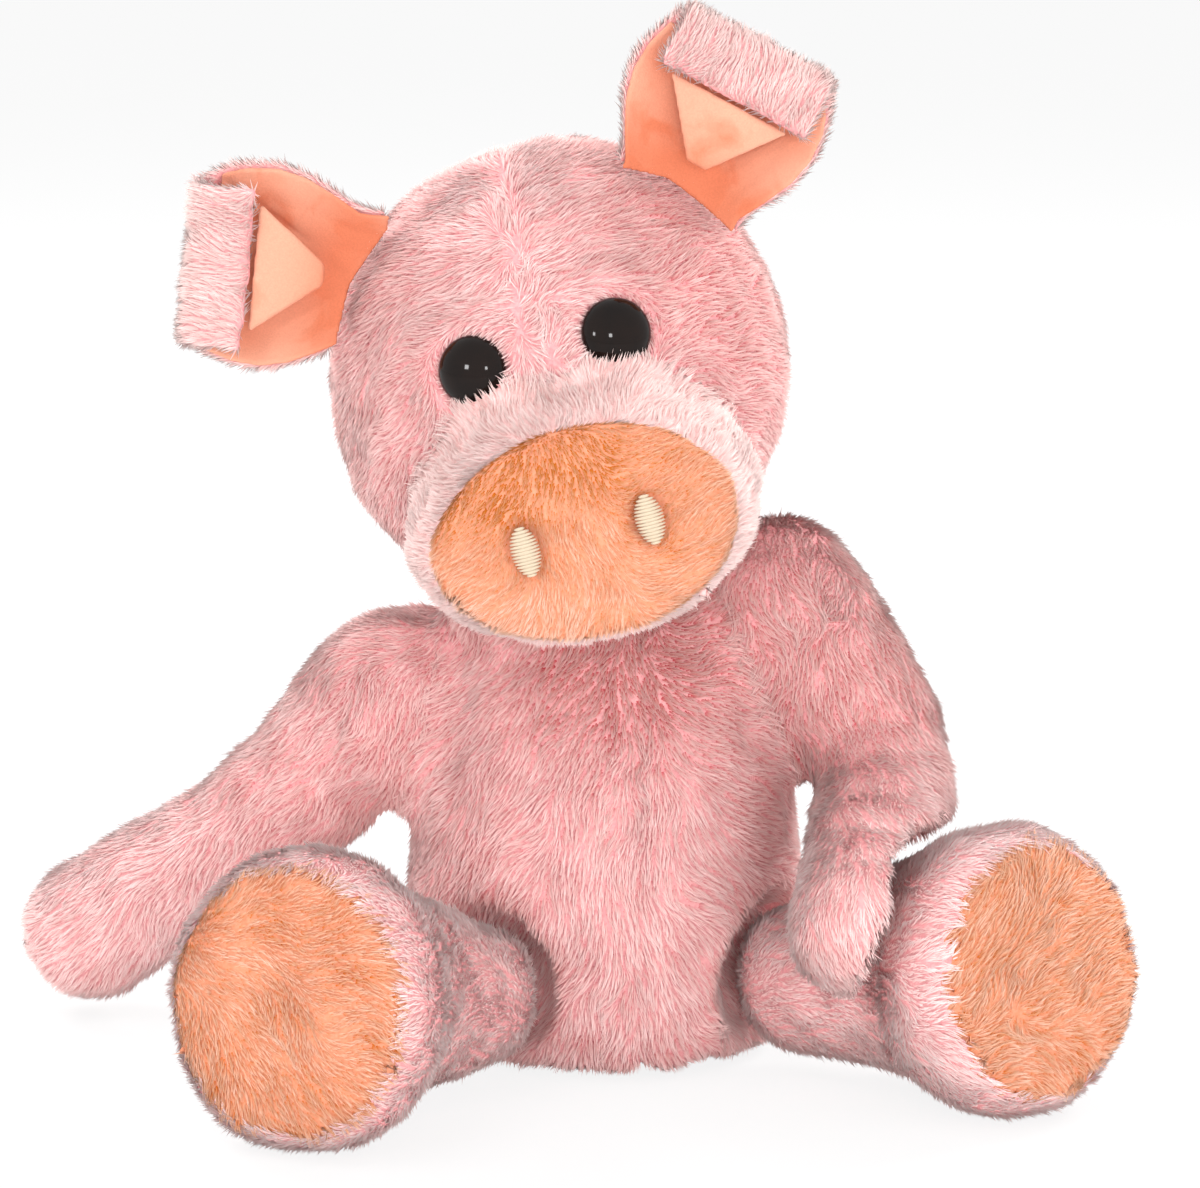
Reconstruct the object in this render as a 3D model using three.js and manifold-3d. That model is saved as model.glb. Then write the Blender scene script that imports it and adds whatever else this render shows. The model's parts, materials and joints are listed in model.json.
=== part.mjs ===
// A plush pig that sits on the floor with its legs splayed and its head tipped to one side.
// Millimetres, +Z up. The pig faces -Y, so its right side is on -X. The origin is the centre of the
// flat under its seat. Each soft limb has a ball at its root, which turns in a hollow of the torso.
import * as THREE from "three";
import { mergeVertices } from "three/addons/utils/BufferGeometryUtils.js";
import Module from "manifold-3d";

const wasm = await Module();
wasm.setup();

// Driving dimensions: cloth, clearances and cuts
const WALL = 2.4; // plush cloth with its pile
const LINING_WALL = 1; // short velvet
const GAP = 0.3; // between pieces that lie on each other
const FILL_GAP = 1.4; // between a cover and its stuffing, which has fewer and longer faces
const ARM_FILL_GAP = 0.6; // the same in an arm, whose stuffing has as many faces as its cover
const SWING_GAP = 1.1; // between a limb's ball and its hollow
const LIMB_CLEARANCE = 1.8; // between a limb and what it lies against
const NECK_GAP = 0.7; // between the neck seam and the two bags that it joins
const OVERRUN = 6; // how far a cut runs past what it cuts
const FLAT = 0.5; // depth of the flats that the pig stands on

// Driving dimensions: torso
const TORSO_HALF_WIDTH = 41;
const TORSO_HALF_DEPTH = 38;
const TORSO_HEIGHT = 105;
const PELLET_LEVEL = 26; // the pellets fill the seat up to here
const NECK_MOUTH = 14; // radius of the hole through which head and torso meet
const NECK_SEAM_RADIUS = 19.5;
const NECK_SEAM_WALL = 2;
const CLOSING_SLIT = 26; // length of the seam left open for the stuffing
const CLOSING_SLIT_WIDTH = 1.6;
const CLOSING_HEIGHT = 40; // lower end of that seam
const THREAD = 1.1; // diameter
const THREAD_SWING = 2.4; // how far each stitch reaches past the slit's middle
const STITCHES = 8;

// Driving dimensions: head, which is rolled about its own centre
const HEAD_RADIUS = 47;
const HEAD_X = -9;
const HEAD_Y = -4;
const HEAD_Z = 139;
const HEAD_ROLL_DEGREES = -15; // about +Y
const MUZZLE_HALF_WIDTH = 36; // where the muzzle leaves the head
const MUZZLE_HALF_HEIGHT = 27;
const MUZZLE_DROP = 22; // the snout's centre lies this far under the head's
const MUZZLE_FRONT = 64; // from the head's centre to the snout disc
const SNOUT_HALF_WIDTH = 30.5;
const SNOUT_HALF_HEIGHT = 22;
const SNOUT_EDGE = 2.4; // thickness at the rim
const SNOUT_CROWN = 4.5; // how far the middle stands proud of the rim
const NOSTRIL_X = 12;
const NOSTRIL_HALF_WIDTH = 2.8;
const NOSTRIL_HALF_HEIGHT = 5;
const NOSTRIL_HALF_DEPTH = 1.4;

// Driving dimensions: eyes
const EYE_X = 13.3;
const EYE_Z = 9.5;
const EYE_RADIUS = 6;
const EYE_CROWN = 4.4;
const SHANK_RADIUS = 1.9;
const SHANK_LENGTH = 9;
const WASHER_RADIUS = 6.5;
const WASHER_WALL = 1.4;

// Driving dimensions: ears
const EAR_LENGTH = 31.5; // from the head to the fold
const EAR_ROOT_HALF_WIDTH = 13.5;
const EAR_HALF_WIDTH = 20.5;
const EAR_FOLD_HALF_WIDTH = 16;
const EAR_FOLD_RADIUS = 4.4;
const EAR_BAND = 8; // the folded plush that lies in front
const EAR_TIP_LENGTH = 13.5;
const EAR_TIP_HALF_WIDTH = 12.5;
const EAR_TIP_POINT = 2; // half width of the tip's rounded point
const EAR_CUP = 4.5; // how far the long edges curl forward
const EAR_FORWARD = 16; // the ears' roots lie this far in front of the head's middle
const EAR_SWING_DEGREES = 20; // each way, which the root is cut back for

// Above the head's own side: where an ear's root lies, and the way that the ear points
const RIGHT_EAR_DEGREES = { root: 43, rise: 21 };
const LEFT_EAR_DEGREES = { root: 43, rise: 47 };

// Driving dimensions: limbs
const ARM_ROOT_RADIUS = 18.5;
const ARM_RADIUS = 15.5;
const HAND_RADIUS = 16.2;
const UPPER_ARM = 32;
const FOREARM = 52;
const LEG_ROOT_RADIUS = 17;
const LEG_RADIUS = 21.5;
const FOOT_RADIUS = 30;
const FOOT_TALLER = 1.05; // a foot is this much taller than it is wide
const THIGH = 29;
const SHIN = 28.5;
const FOOT_LENGTH = 17; // from the sole back to where the foot narrows
const SOLE_EDGE = 2.4;
const SOLE_CROWN = 2.6;
const LIMB_MOUTH = 8; // radius of the hole at a limb's sewn end
const RIGHT_SHOULDER_HEIGHT = 70;
const LEFT_SHOULDER_HEIGHT = 88;
const HIP_HEIGHT = 19;
const HIP_SWING_IN_DEGREES = 3; // how far a leg swings towards the other
const HIP_SWING_OUT_DEGREES = 15;
const ARM_RAISE_DEGREES = 35; // how far the left hand lifts off the thigh
const ARM_RAISE_TURN_DEGREES = 20; // how far it lifts towards the pig's left rather than forward
const TAIL_HEIGHT = 24;
const TAIL_ROOT_RADIUS = 5;
const TAIL_TIP_RADIUS = 3.4;
const TAIL_LENGTH = 15;
const TAIL_CURL = 3; // how far the tip bends to the pig's left
const TAIL_RISE_DEGREES = 12; // above level at the tail's middle, and twice that at its tip

// How much of its root's radius a limb stands out of the torso
const ARM_PROUD_SHARE = 0.5;
const LEG_PROUD_SHARE = 0.36;
const TAIL_PROUD_SHARE = 0.5;

// Headings run from +X towards +Y, and drops are below level
const RIGHT_ARM_DEGREES = { socket: 177, upper: 157, upperDrop: 47, fore: 161, foreDrop: 34 };
const LEFT_ARM_DEGREES = { socket: -3, upper: -29, upperDrop: 54, fore: -96, foreDrop: 26 };
const RIGHT_LEG_DEGREES = { socket: -127, upper: -133, upperDrop: -11, fore: -115, foreDrop: -10 };
const LEFT_LEG_DEGREES = { socket: -30, upper: -29, upperDrop: -11, fore: -50, foreDrop: -10 };
const TAIL_HEADING_DEGREES = 90;

// Faces round each kind of form, and along the two that are round both ways
const BODY_SIDES = 24;
const FILL_SIDES = 14;
const SNOUT_SIDES = 22;
const LIMB_SIDES = 16;
const SMALL_SIDES = 12;
const THREAD_SIDES = 5;
const BODY_STEPS = 14;
const ARC_STEPS = 3;
const LIMB_STEPS = 6;
const NECK_MESH = { segments: 20, rings: 14 };
const HOLLOW_MESH = { segments: 14, rings: 10 };
const SMALL_MESH = { segments: 12, rings: 6 };

const UP = new THREE.Vector3(0, 0, 1);
const RIGHT_ANGLE = Math.PI / 2;
const MERGE_DISTANCE = 1e-4;
const SLIVER = 0.02; // points nearer than this, left where two forms cross, become one

// Colours of the toy's materials
const PINK = { color: 0xecabb0, roughness: 0.95, metalness: 0 };
const PALE_PINK = { color: 0xf0c2c6, roughness: 0.95, metalness: 0 };
const PEACH = { color: 0xf3b48c, roughness: 0.95, metalness: 0 };
const LINING = { color: 0xf4a47c, roughness: 0.8, metalness: 0 };
const EYE = { color: 0x1a1212, roughness: 0.08, metalness: 0 };
const NYLON = { color: 0xe6e2dc, roughness: 0.5, metalness: 0 };
const SILK = { color: 0xe8d9c8, roughness: 0.35, metalness: 0 };
const FIBRE = { color: 0xf4f2ee, roughness: 1, metalness: 0 };
const CALICO = { color: 0xe9e0cf, roughness: 0.9, metalness: 0 };
const THREAD_PINK = { color: 0xd98f96, roughness: 0.7, metalness: 0 };

const pig = new THREE.Group();

// The same faces with near points made one, and without the faces that this leaves empty
function welded(geometry, distance) {
  const bare = geometry.clone();
  bare.deleteAttribute("normal");
  bare.deleteAttribute("uv");
  const merged = mergeVertices(bare, distance);
  const corners = merged.index.array;
  const kept = [];
  for (let i = 0; i < corners.length; i += 3) {
    const [a, b, c] = [corners[i], corners[i + 1], corners[i + 2]];
    if (a !== b && b !== c && c !== a) kept.push(a, b, c);
  }
  merged.setIndex(kept);
  return merged;
}

// A closed geometry as a solid that can be joined and cut
function solid(geometry) {
  const { attributes, index } = welded(geometry, MERGE_DISTANCE);
  return new wasm.Manifold(new wasm.Mesh({
    numProp: 3,
    vertProperties: new Float32Array(attributes.position.array),
    triVerts: new Uint32Array(index.array),
  }));
}

// A solid's faces as a geometry
function shape(body) {
  const { vertProperties, triVerts } = body.getMesh();
  const geometry = new THREE.BufferGeometry();
  geometry.setAttribute("position", new THREE.BufferAttribute(vertProperties, 3));
  geometry.setIndex(new THREE.BufferAttribute(triVerts, 1));
  return geometry;
}

// A solid as a named mesh of its own material
function piece(group, name, body, finish) {
  const geometry = welded(shape(body), SLIVER);
  geometry.computeVertexNormals();
  const mesh = new THREE.Mesh(geometry, new THREE.MeshStandardMaterial(finish));
  mesh.name = name;
  group.add(mesh);
  return mesh;
}

function ball(radius, centre, { segments, rings }) {
  const geometry = new THREE.SphereGeometry(radius, segments, rings);
  geometry.rotateX(RIGHT_ANGLE);
  geometry.translate(centre.x, centre.y, centre.z);
  return solid(geometry);
}

// A round bar from one point to another
function bar(radius, from, to) {
  const along = to.clone().sub(from);
  const geometry = new THREE.CylinderGeometry(radius, radius, along.length(), SMALL_SIDES);
  const way = along.clone().normalize();
  geometry.applyQuaternion(new THREE.Quaternion().setFromUnitVectors(new THREE.Vector3(0, 1, 0), way));
  const middle = from.clone().addScaledVector(along, 1 / 2);
  geometry.translate(middle.x, middle.y, middle.z);
  return solid(geometry);
}

// A block between two corners
function block(low, high) {
  const size = high.clone().sub(low);
  const geometry = new THREE.BoxGeometry(size.x, size.y, size.z);
  geometry.translate(low.x + size.x / 2, low.y + size.y / 2, low.z + size.z / 2);
  return solid(geometry);
}

// Everything below a level, wide enough for the whole pig
function below(level) {
  const reach = TORSO_HEIGHT + HEAD_Z;
  return block(new THREE.Vector3(-reach, -reach, -reach), new THREE.Vector3(reach, reach, level));
}

function heading(degrees, drop, length) {
  const turn = THREE.MathUtils.degToRad(degrees);
  const fall = THREE.MathUtils.degToRad(drop);
  const level = Math.cos(fall) * length;
  return new THREE.Vector3(Math.cos(turn) * level, Math.sin(turn) * level, -Math.sin(fall) * length);
}

// A spine gives, at each station along it, its centre and the two directions across it
function straightUp(station) {
  return {
    centre: new THREE.Vector3(0, 0, station),
    side: new THREE.Vector3(1, 0, 0),
    rise: new THREE.Vector3(0, 1, 0),
  };
}

function curved(points) {
  const curve = new THREE.CatmullRomCurve3(points);
  const length = curve.getLength();
  const at = (station) => {
    const share = THREE.MathUtils.clamp(station / length, 0, 1);
    const along = curve.getTangentAt(share);
    const centre = curve.getPointAt(share).addScaledVector(along, station - share * length);
    const side = new THREE.Vector3().crossVectors(UP, along).normalize();
    return { centre, side, rise: new THREE.Vector3().crossVectors(along, side), along };
  };
  at.reach = length;
  return at;
}

// A form swells and tapers along its spine. Its profile's points run from the far end's middle to
// the near end's middle: x is the radius there and y the station. tall gives a station's height share.
function form(profile, spine, sides, tall = () => 1) {
  const rings = profile.length - 1;
  const geometry = new THREE.SphereGeometry(1, sides, rings);
  const at = geometry.attributes.position;
  const unit = new THREE.Vector3();
  for (let i = 0; i < at.count; i++) {
    unit.fromBufferAttribute(at, i);
    const polar = Math.acos(THREE.MathUtils.clamp(unit.y, -1, 1)) / Math.PI;
    const { x: radius, y: station } = profile[Math.round(polar * rings)];
    const turn = Math.atan2(-unit.z, unit.x);
    const { centre, side, rise } = spine(station);
    centre.addScaledVector(side, Math.cos(turn) * radius);
    centre.addScaledVector(rise, Math.sin(turn) * radius * tall(station));
    at.setXYZ(i, centre.x, centre.y, centre.z);
  }
  return solid(geometry);
}

// The points of a profile, from its curves and the number of steps along each
function outline(...stretches) {
  const points = stretches.flatMap(([curve, steps], i) => curve.getSpacedPoints(steps).slice(i ? 1 : 0));
  points[0].x = 0;
  points[points.length - 1].x = 0;
  return points;
}

const line = (x0, y0, x1, y1) => new THREE.LineCurve(new THREE.Vector2(x0, y0), new THREE.Vector2(x1, y1));
const smooth = (points) => new THREE.SplineCurve(points.map(([x, y]) => new THREE.Vector2(x, y)));
const tipArc = (radius, station) => new THREE.EllipseCurve(0, station, radius, radius, RIGHT_ANGLE, 0, true);
const rootArc = (radius) => new THREE.EllipseCurve(0, 0, radius, radius, 0, -RIGHT_ANGLE, true);

// Torso: a pear, wide at the seat and narrow at the neck. Shares of its half width, and of its
// height above the point where its flat is cut.
const TORSO_SHARES = [
  [0, 1],
  [0.34, 0.975],
  [0.6, 0.9],
  [0.81, 0.76],
  [0.93, 0.58],
  [1, 0.36],
  [0.99, 0.17],
  [0.92, 0.06],
  [0.76, 0.005],
  [0, 0],
];

function torsoProfile(inset) {
  const points = TORSO_SHARES.map(([radiusShare, heightShare]) => {
    const inward = 1 - 2 * heightShare;
    const radius = Math.max(TORSO_HALF_WIDTH * radiusShare - inset, 0);
    return [radiusShare === 0 ? 0 : radius, TORSO_HEIGHT * heightShare - FLAT + inset * inward];
  });
  return smooth(points);
}

function torsoForm(inset, sides) {
  const profile = outline([torsoProfile(inset), BODY_STEPS]);
  return form(profile, straightUp, sides, () => TORSO_HALF_DEPTH / TORSO_HALF_WIDTH);
}

// The torso's radius at a height, taken from its profile
function torsoRadius(height) {
  const points = torsoProfile(0).getSpacedPoints(TORSO_SHARES.length ** 2);
  const near = points.reduce((best, p) => (Math.abs(p.y - height) < Math.abs(best.y - height) ? p : best));
  return near.x;
}

// A place proud of the torso's skin, where a limb's ball has its centre
function onTorso(height, degrees, proud) {
  const turn = THREE.MathUtils.degToRad(degrees);
  const radius = torsoRadius(height);
  const wide = Math.cos(turn) * radius;
  const deep = (Math.sin(turn) * radius * TORSO_HALF_DEPTH) / TORSO_HALF_WIDTH;
  const outward = new THREE.Vector3(wide, deep, 0).normalize();
  return new THREE.Vector3(wide, deep, height).addScaledVector(outward, proud);
}

const HEAD_CENTRE = new THREE.Vector3(HEAD_X, HEAD_Y, HEAD_Z);
const SEAM_INNER = HEAD_RADIUS + NECK_GAP;
const SEAM_OUTER = SEAM_INNER + NECK_SEAM_WALL;
const HEAD_HOLLOW = SEAM_OUTER + NECK_GAP;

const armProud = ARM_ROOT_RADIUS * ARM_PROUD_SHARE;
const legProud = LEG_ROOT_RADIUS * LEG_PROUD_SHARE;
const RIGHT_SHOULDER = onTorso(RIGHT_SHOULDER_HEIGHT, RIGHT_ARM_DEGREES.socket, armProud);
const LEFT_SHOULDER = onTorso(LEFT_SHOULDER_HEIGHT, LEFT_ARM_DEGREES.socket, armProud);
const RIGHT_HIP = onTorso(HIP_HEIGHT, RIGHT_LEG_DEGREES.socket, legProud);
const LEFT_HIP = onTorso(HIP_HEIGHT, LEFT_LEG_DEGREES.socket, legProud);
const TAIL_ROOT = onTorso(TAIL_HEIGHT, TAIL_HEADING_DEGREES, TAIL_ROOT_RADIUS * TAIL_PROUD_SHARE);

// The torso's hollows: one for each limb's ball and one for the head
const hollows = [
  { radius: ARM_ROOT_RADIUS + SWING_GAP, centre: RIGHT_SHOULDER, mesh: HOLLOW_MESH },
  { radius: ARM_ROOT_RADIUS + SWING_GAP, centre: LEFT_SHOULDER, mesh: HOLLOW_MESH },
  { radius: LEG_ROOT_RADIUS + SWING_GAP, centre: RIGHT_HIP, mesh: HOLLOW_MESH },
  { radius: LEG_ROOT_RADIUS + SWING_GAP, centre: LEFT_HIP, mesh: HOLLOW_MESH },
  { radius: TAIL_ROOT_RADIUS + SWING_GAP, centre: TAIL_ROOT, mesh: SMALL_MESH },
  { radius: HEAD_HOLLOW, centre: HEAD_CENTRE, mesh: NECK_MESH },
];

function hollowed(inset, sides) {
  let body = torsoForm(inset, sides);
  for (const hollow of hollows) {
    body = body.subtract(ball(hollow.radius + inset, hollow.centre, hollow.mesh));
  }
  return body.subtract(below(inset));
}

function neckMouth(radius) {
  const top = new THREE.Vector3(HEAD_X, HEAD_Y, HEAD_Z - HEAD_RADIUS + OVERRUN);
  const bottom = new THREE.Vector3(HEAD_X, HEAD_Y, HEAD_Z - HEAD_HOLLOW - WALL - OVERRUN);
  return bar(radius, top, bottom);
}

function torso() {
  const backSkin = TORSO_HALF_DEPTH + OVERRUN;
  const slitTop = CLOSING_HEIGHT + CLOSING_SLIT;
  const slit = block(
    new THREE.Vector3(-CLOSING_SLIT_WIDTH / 2, TORSO_HALF_DEPTH / 2, CLOSING_HEIGHT),
    new THREE.Vector3(CLOSING_SLIT_WIDTH / 2, backSkin, slitTop),
  );
  const cover = hollowed(0, BODY_SIDES)
    .subtract(hollowed(WALL, BODY_SIDES))
    .subtract(neckMouth(NECK_MOUTH))
    .subtract(slit);
  piece(pig, "torso_cover", cover, PINK);
  const fill = hollowed(WALL + FILL_GAP, FILL_SIDES);
  piece(pig, "torso_stuffing", fill.subtract(below(PELLET_LEVEL + GAP)), FIBRE);
  piece(pig, "pellet_bag", fill.intersect(below(PELLET_LEVEL)), CALICO);
}

// The closing thread zigzags over the slit, just off the cloth
function closingThread() {
  const points = [];
  const off = GAP + THREAD;
  for (let i = 0; i <= STITCHES; i++) {
    const height = CLOSING_HEIGHT + (CLOSING_SLIT * i) / STITCHES;
    const depth = (torsoRadius(height) * TORSO_HALF_DEPTH) / TORSO_HALF_WIDTH;
    points.push(new THREE.Vector3(i % 2 ? THREAD_SWING : -THREAD_SWING, depth + off, height));
  }
  const section = [];
  for (let i = 0; i < THREAD_SIDES; i++) {
    const turn = (2 * Math.PI * i) / THREAD_SIDES;
    section.push(new THREE.Vector2((Math.cos(turn) * THREAD) / 2, (Math.sin(turn) * THREAD) / 2));
  }
  const geometry = new THREE.ExtrudeGeometry(new THREE.Shape(section), {
    steps: 2 * STITCHES,
    extrudePath: new THREE.CatmullRomCurve3(points),
  });
  piece(pig, "closing_thread", solid(geometry), THREAD_PINK);
}

function neckSeam() {
  const ring = ball(SEAM_OUTER, HEAD_CENTRE, NECK_MESH).subtract(ball(SEAM_INNER, HEAD_CENTRE, NECK_MESH));
  const washer = ring.intersect(neckMouth(NECK_SEAM_RADIUS)).subtract(neckMouth(NECK_MOUTH));
  piece(pig, "neck_seam", washer, PINK);
}

// Head: everything in it is placed from the head's centre, with the head unrolled
const head = new THREE.Group();
head.position.copy(HEAD_CENTRE);
head.rotation.y = THREE.MathUtils.degToRad(HEAD_ROLL_DEGREES);
pig.add(head);

function headForm(inset, sides) {
  const radius = HEAD_RADIUS - inset;
  const half = new THREE.EllipseCurve(0, 0, radius, radius, RIGHT_ANGLE, -RIGHT_ANGLE, true);
  return form(outline([half, BODY_STEPS]), straightUp, sides);
}

// The muzzle's spine runs forward from under the head's centre
const muzzleSpine = curved([
  new THREE.Vector3(0, 0, -MUZZLE_DROP),
  new THREE.Vector3(0, -MUZZLE_FRONT, -MUZZLE_DROP),
]);

// The muzzle is wider than it is high, and a little more so at the snout
function muzzleTall(station) {
  const way = THREE.MathUtils.clamp(station / MUZZLE_FRONT, 0, 1);
  const atHead = MUZZLE_HALF_HEIGHT / MUZZLE_HALF_WIDTH;
  const atSnout = SNOUT_HALF_HEIGHT / SNOUT_HALF_WIDTH;
  return THREE.MathUtils.lerp(atHead, atSnout, way);
}

// The muzzle's outline between the snout and its root inside the head: shares of its half width,
// and of its reach. It tucks in at the root, so that the chin rounds back into the head.
const MUZZLE_SHARES = [
  [0.95, 0.82],
  [0.99, 0.62],
  [0.9, 0.46],
  [0.72, 0.36],
];

function muzzleForm(inset, to, sides) {
  const points = MUZZLE_SHARES.map(([radiusShare, reachShare]) => [
    MUZZLE_HALF_WIDTH * radiusShare - inset,
    MUZZLE_FRONT * reachShare,
  ]);
  const front = SNOUT_HALF_WIDTH - inset;
  const [root, from] = points[points.length - 1];
  const side = smooth([[front, to], ...points]);
  const profile = outline([line(0, to, front, to), 1], [side, LIMB_STEPS], [line(root, from, 0, from), 1]);
  return form(profile, muzzleSpine, sides, muzzleTall);
}

// Where an eye sits on the head, and the way that it looks
function eyeSeat(x) {
  const y = -Math.sqrt(HEAD_RADIUS ** 2 - x ** 2 - EYE_Z ** 2);
  return new THREE.Vector3(x, y, EYE_Z);
}

function headPieces() {
  const bore = muzzleForm(WALL, MUZZLE_FRONT + GAP, SNOUT_SIDES);
  const seats = [eyeSeat(-EYE_X), eyeSeat(EYE_X)];
  const downwards = new THREE.Vector3(0, 0, -1).applyAxisAngle(new THREE.Vector3(0, 1, 0), -head.rotation.y);
  const mouthInside = downwards.clone().multiplyScalar(HEAD_RADIUS - OVERRUN);
  const mouthOutside = downwards.clone().multiplyScalar(HEAD_RADIUS + OVERRUN);
  let cover = headForm(0, BODY_SIDES)
    .subtract(headForm(WALL, BODY_SIDES))
    .subtract(bore)
    .subtract(bar(NECK_MOUTH, mouthInside, mouthOutside));
  let fill = headForm(WALL + FILL_GAP, FILL_SIDES);
  for (const seat of seats) {
    const inward = seat.clone().normalize();
    const deep = inward.clone().multiplyScalar(HEAD_RADIUS - SHANK_LENGTH - OVERRUN / 2);
    cover = cover.subtract(bar(SHANK_RADIUS + GAP, deep, seat.clone().addScaledVector(inward, OVERRUN)));
    fill = fill.subtract(bar(WASHER_RADIUS + 2 * GAP, deep, seat));
  }
  piece(head, "head_cover", cover, PINK);
  piece(head, "head_stuffing", fill, FIBRE);

  const band = muzzleForm(0, MUZZLE_FRONT, SNOUT_SIDES);
  piece(head, "muzzle_cover", band.subtract(bore).subtract(headForm(-GAP, BODY_SIDES)), PALE_PINK);
  const filled = muzzleForm(WALL + FILL_GAP, MUZZLE_FRONT, FILL_SIDES);
  const plug = filled.subtract(headForm(WALL, BODY_SIDES));
  piece(head, "muzzle_stuffing", plug, FIBRE);
}

// The snout disc: flat behind and crowned in front, with two dimples for the nostrils
function snout() {
  const back = MUZZLE_FRONT + GAP;
  const edge = back + SNOUT_EDGE;
  const crown = edge + SNOUT_CROWN;
  const dome = new THREE.EllipseCurve(0, edge, SNOUT_HALF_WIDTH, SNOUT_CROWN, RIGHT_ANGLE, 0, true);
  const rim = line(SNOUT_HALF_WIDTH, edge, SNOUT_HALF_WIDTH, back);
  const profile = outline([dome, 2 * ARC_STEPS], [rim, 1], [line(SNOUT_HALF_WIDTH, back, 0, back), 1]);
  let disc = form(profile, muzzleSpine, SNOUT_SIDES, muzzleTall);
  const drop = Math.sqrt(1 - (NOSTRIL_X / SNOUT_HALF_WIDTH) ** 2);
  const depth = edge + SNOUT_CROWN * drop;
  for (const [name, x] of [["nostril_right", -NOSTRIL_X], ["nostril_left", NOSTRIL_X]]) {
    const pad = (grow) => {
      const { segments, rings } = SMALL_MESH;
      const geometry = new THREE.SphereGeometry(1, segments, rings);
      geometry.scale(NOSTRIL_HALF_WIDTH + grow, NOSTRIL_HALF_DEPTH + grow, NOSTRIL_HALF_HEIGHT + grow);
      geometry.translate(x, -depth, -MUZZLE_DROP);
      return solid(geometry);
    };
    disc = disc.subtract(pad(GAP));
    piece(head, name, pad(0), SILK);
  }
  piece(head, "snout_disc", disc, PEACH);
}

// An eye is a dome with a shank behind it, and a washer grips the shank inside the head
function eye(name, x) {
  const seat = eyeSeat(x);
  const inward = seat.clone().normalize();
  const turn = new THREE.Quaternion().setFromUnitVectors(new THREE.Vector3(0, 1, 0), inward);
  const back = HEAD_RADIUS + GAP;
  const points = [
    new THREE.Vector2(0, back - SHANK_LENGTH),
    new THREE.Vector2(SHANK_RADIUS, back - SHANK_LENGTH),
    new THREE.Vector2(SHANK_RADIUS, back),
    new THREE.Vector2(EYE_RADIUS, back),
  ];
  const steps = ARC_STEPS;
  for (let i = 1; i <= steps; i++) {
    const rise = (RIGHT_ANGLE * i) / steps;
    const radius = i === steps ? 0 : EYE_RADIUS * Math.cos(rise);
    points.push(new THREE.Vector2(radius, back + EYE_CROWN * Math.sin(rise)));
  }
  const dome = new THREE.LatheGeometry(points, SMALL_SIDES);
  dome.applyQuaternion(turn);
  piece(head, `eye_${name}`, solid(dome), EYE);

  const inside = HEAD_RADIUS - WALL;
  const dish = WASHER_RADIUS ** 2 / (2 * inside);
  const low = inside - dish - FILL_GAP - WASHER_WALL;
  const washer = new THREE.CylinderGeometry(WASHER_RADIUS, WASHER_RADIUS, WASHER_WALL, SMALL_SIDES);
  const hole = SHANK_RADIUS + GAP;
  const drill = new THREE.CylinderGeometry(hole, hole, WASHER_WALL + OVERRUN, SMALL_SIDES);
  const geometry = shape(solid(washer).subtract(solid(drill)));
  geometry.translate(0, low + WASHER_WALL / 2, 0);
  geometry.applyQuaternion(turn);
  piece(head, `eye_washer_${name}`, solid(geometry), NYLON);
}

// A sheet follows a curve in the plane of its length and its front, with a width that changes
// along it. Its own X runs along the ear, Y across it and Z to the front.
const HOOK_MESH = { along: 14, across: 6 };
const PANEL_MESH = { along: 6, across: 6 };
const TIP_MESH = { along: 3, across: 2 };

function sheet(curve, halfWidth, cup, thickness, { along: lengths, across: widths }) {
  const geometry = new THREE.BoxGeometry(1, 1, 1, lengths, widths, 1);
  const at = geometry.attributes.position;
  for (let i = 0; i < at.count; i++) {
    const share = at.getX(i) + 1 / 2;
    const across = 2 * at.getY(i);
    const place = curve.getPointAt(share);
    const along = curve.getTangentAt(share);
    const lift = at.getZ(i) * thickness;
    const bend = cup * across ** 2;
    at.setXYZ(i, place.x - along.y * lift, across * halfWidth(share), place.y + along.x * lift + bend);
  }
  return solid(geometry);
}

// Widths along an ear as shares of the way to its fold
const EAR_WIDEST_SHARE = 0.55;

function earHalfWidth(station) {
  const way = Math.min(station / EAR_LENGTH, 1);
  if (way < EAR_WIDEST_SHARE) {
    const rise = Math.sin((way / EAR_WIDEST_SHARE) * RIGHT_ANGLE);
    return THREE.MathUtils.lerp(EAR_ROOT_HALF_WIDTH, EAR_HALF_WIDTH, rise);
  }
  const fall = (way - EAR_WIDEST_SHARE) / (1 - EAR_WIDEST_SHARE);
  return THREE.MathUtils.lerp(EAR_HALF_WIDTH, EAR_FOLD_HALF_WIDTH, fall ** 2);
}

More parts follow.
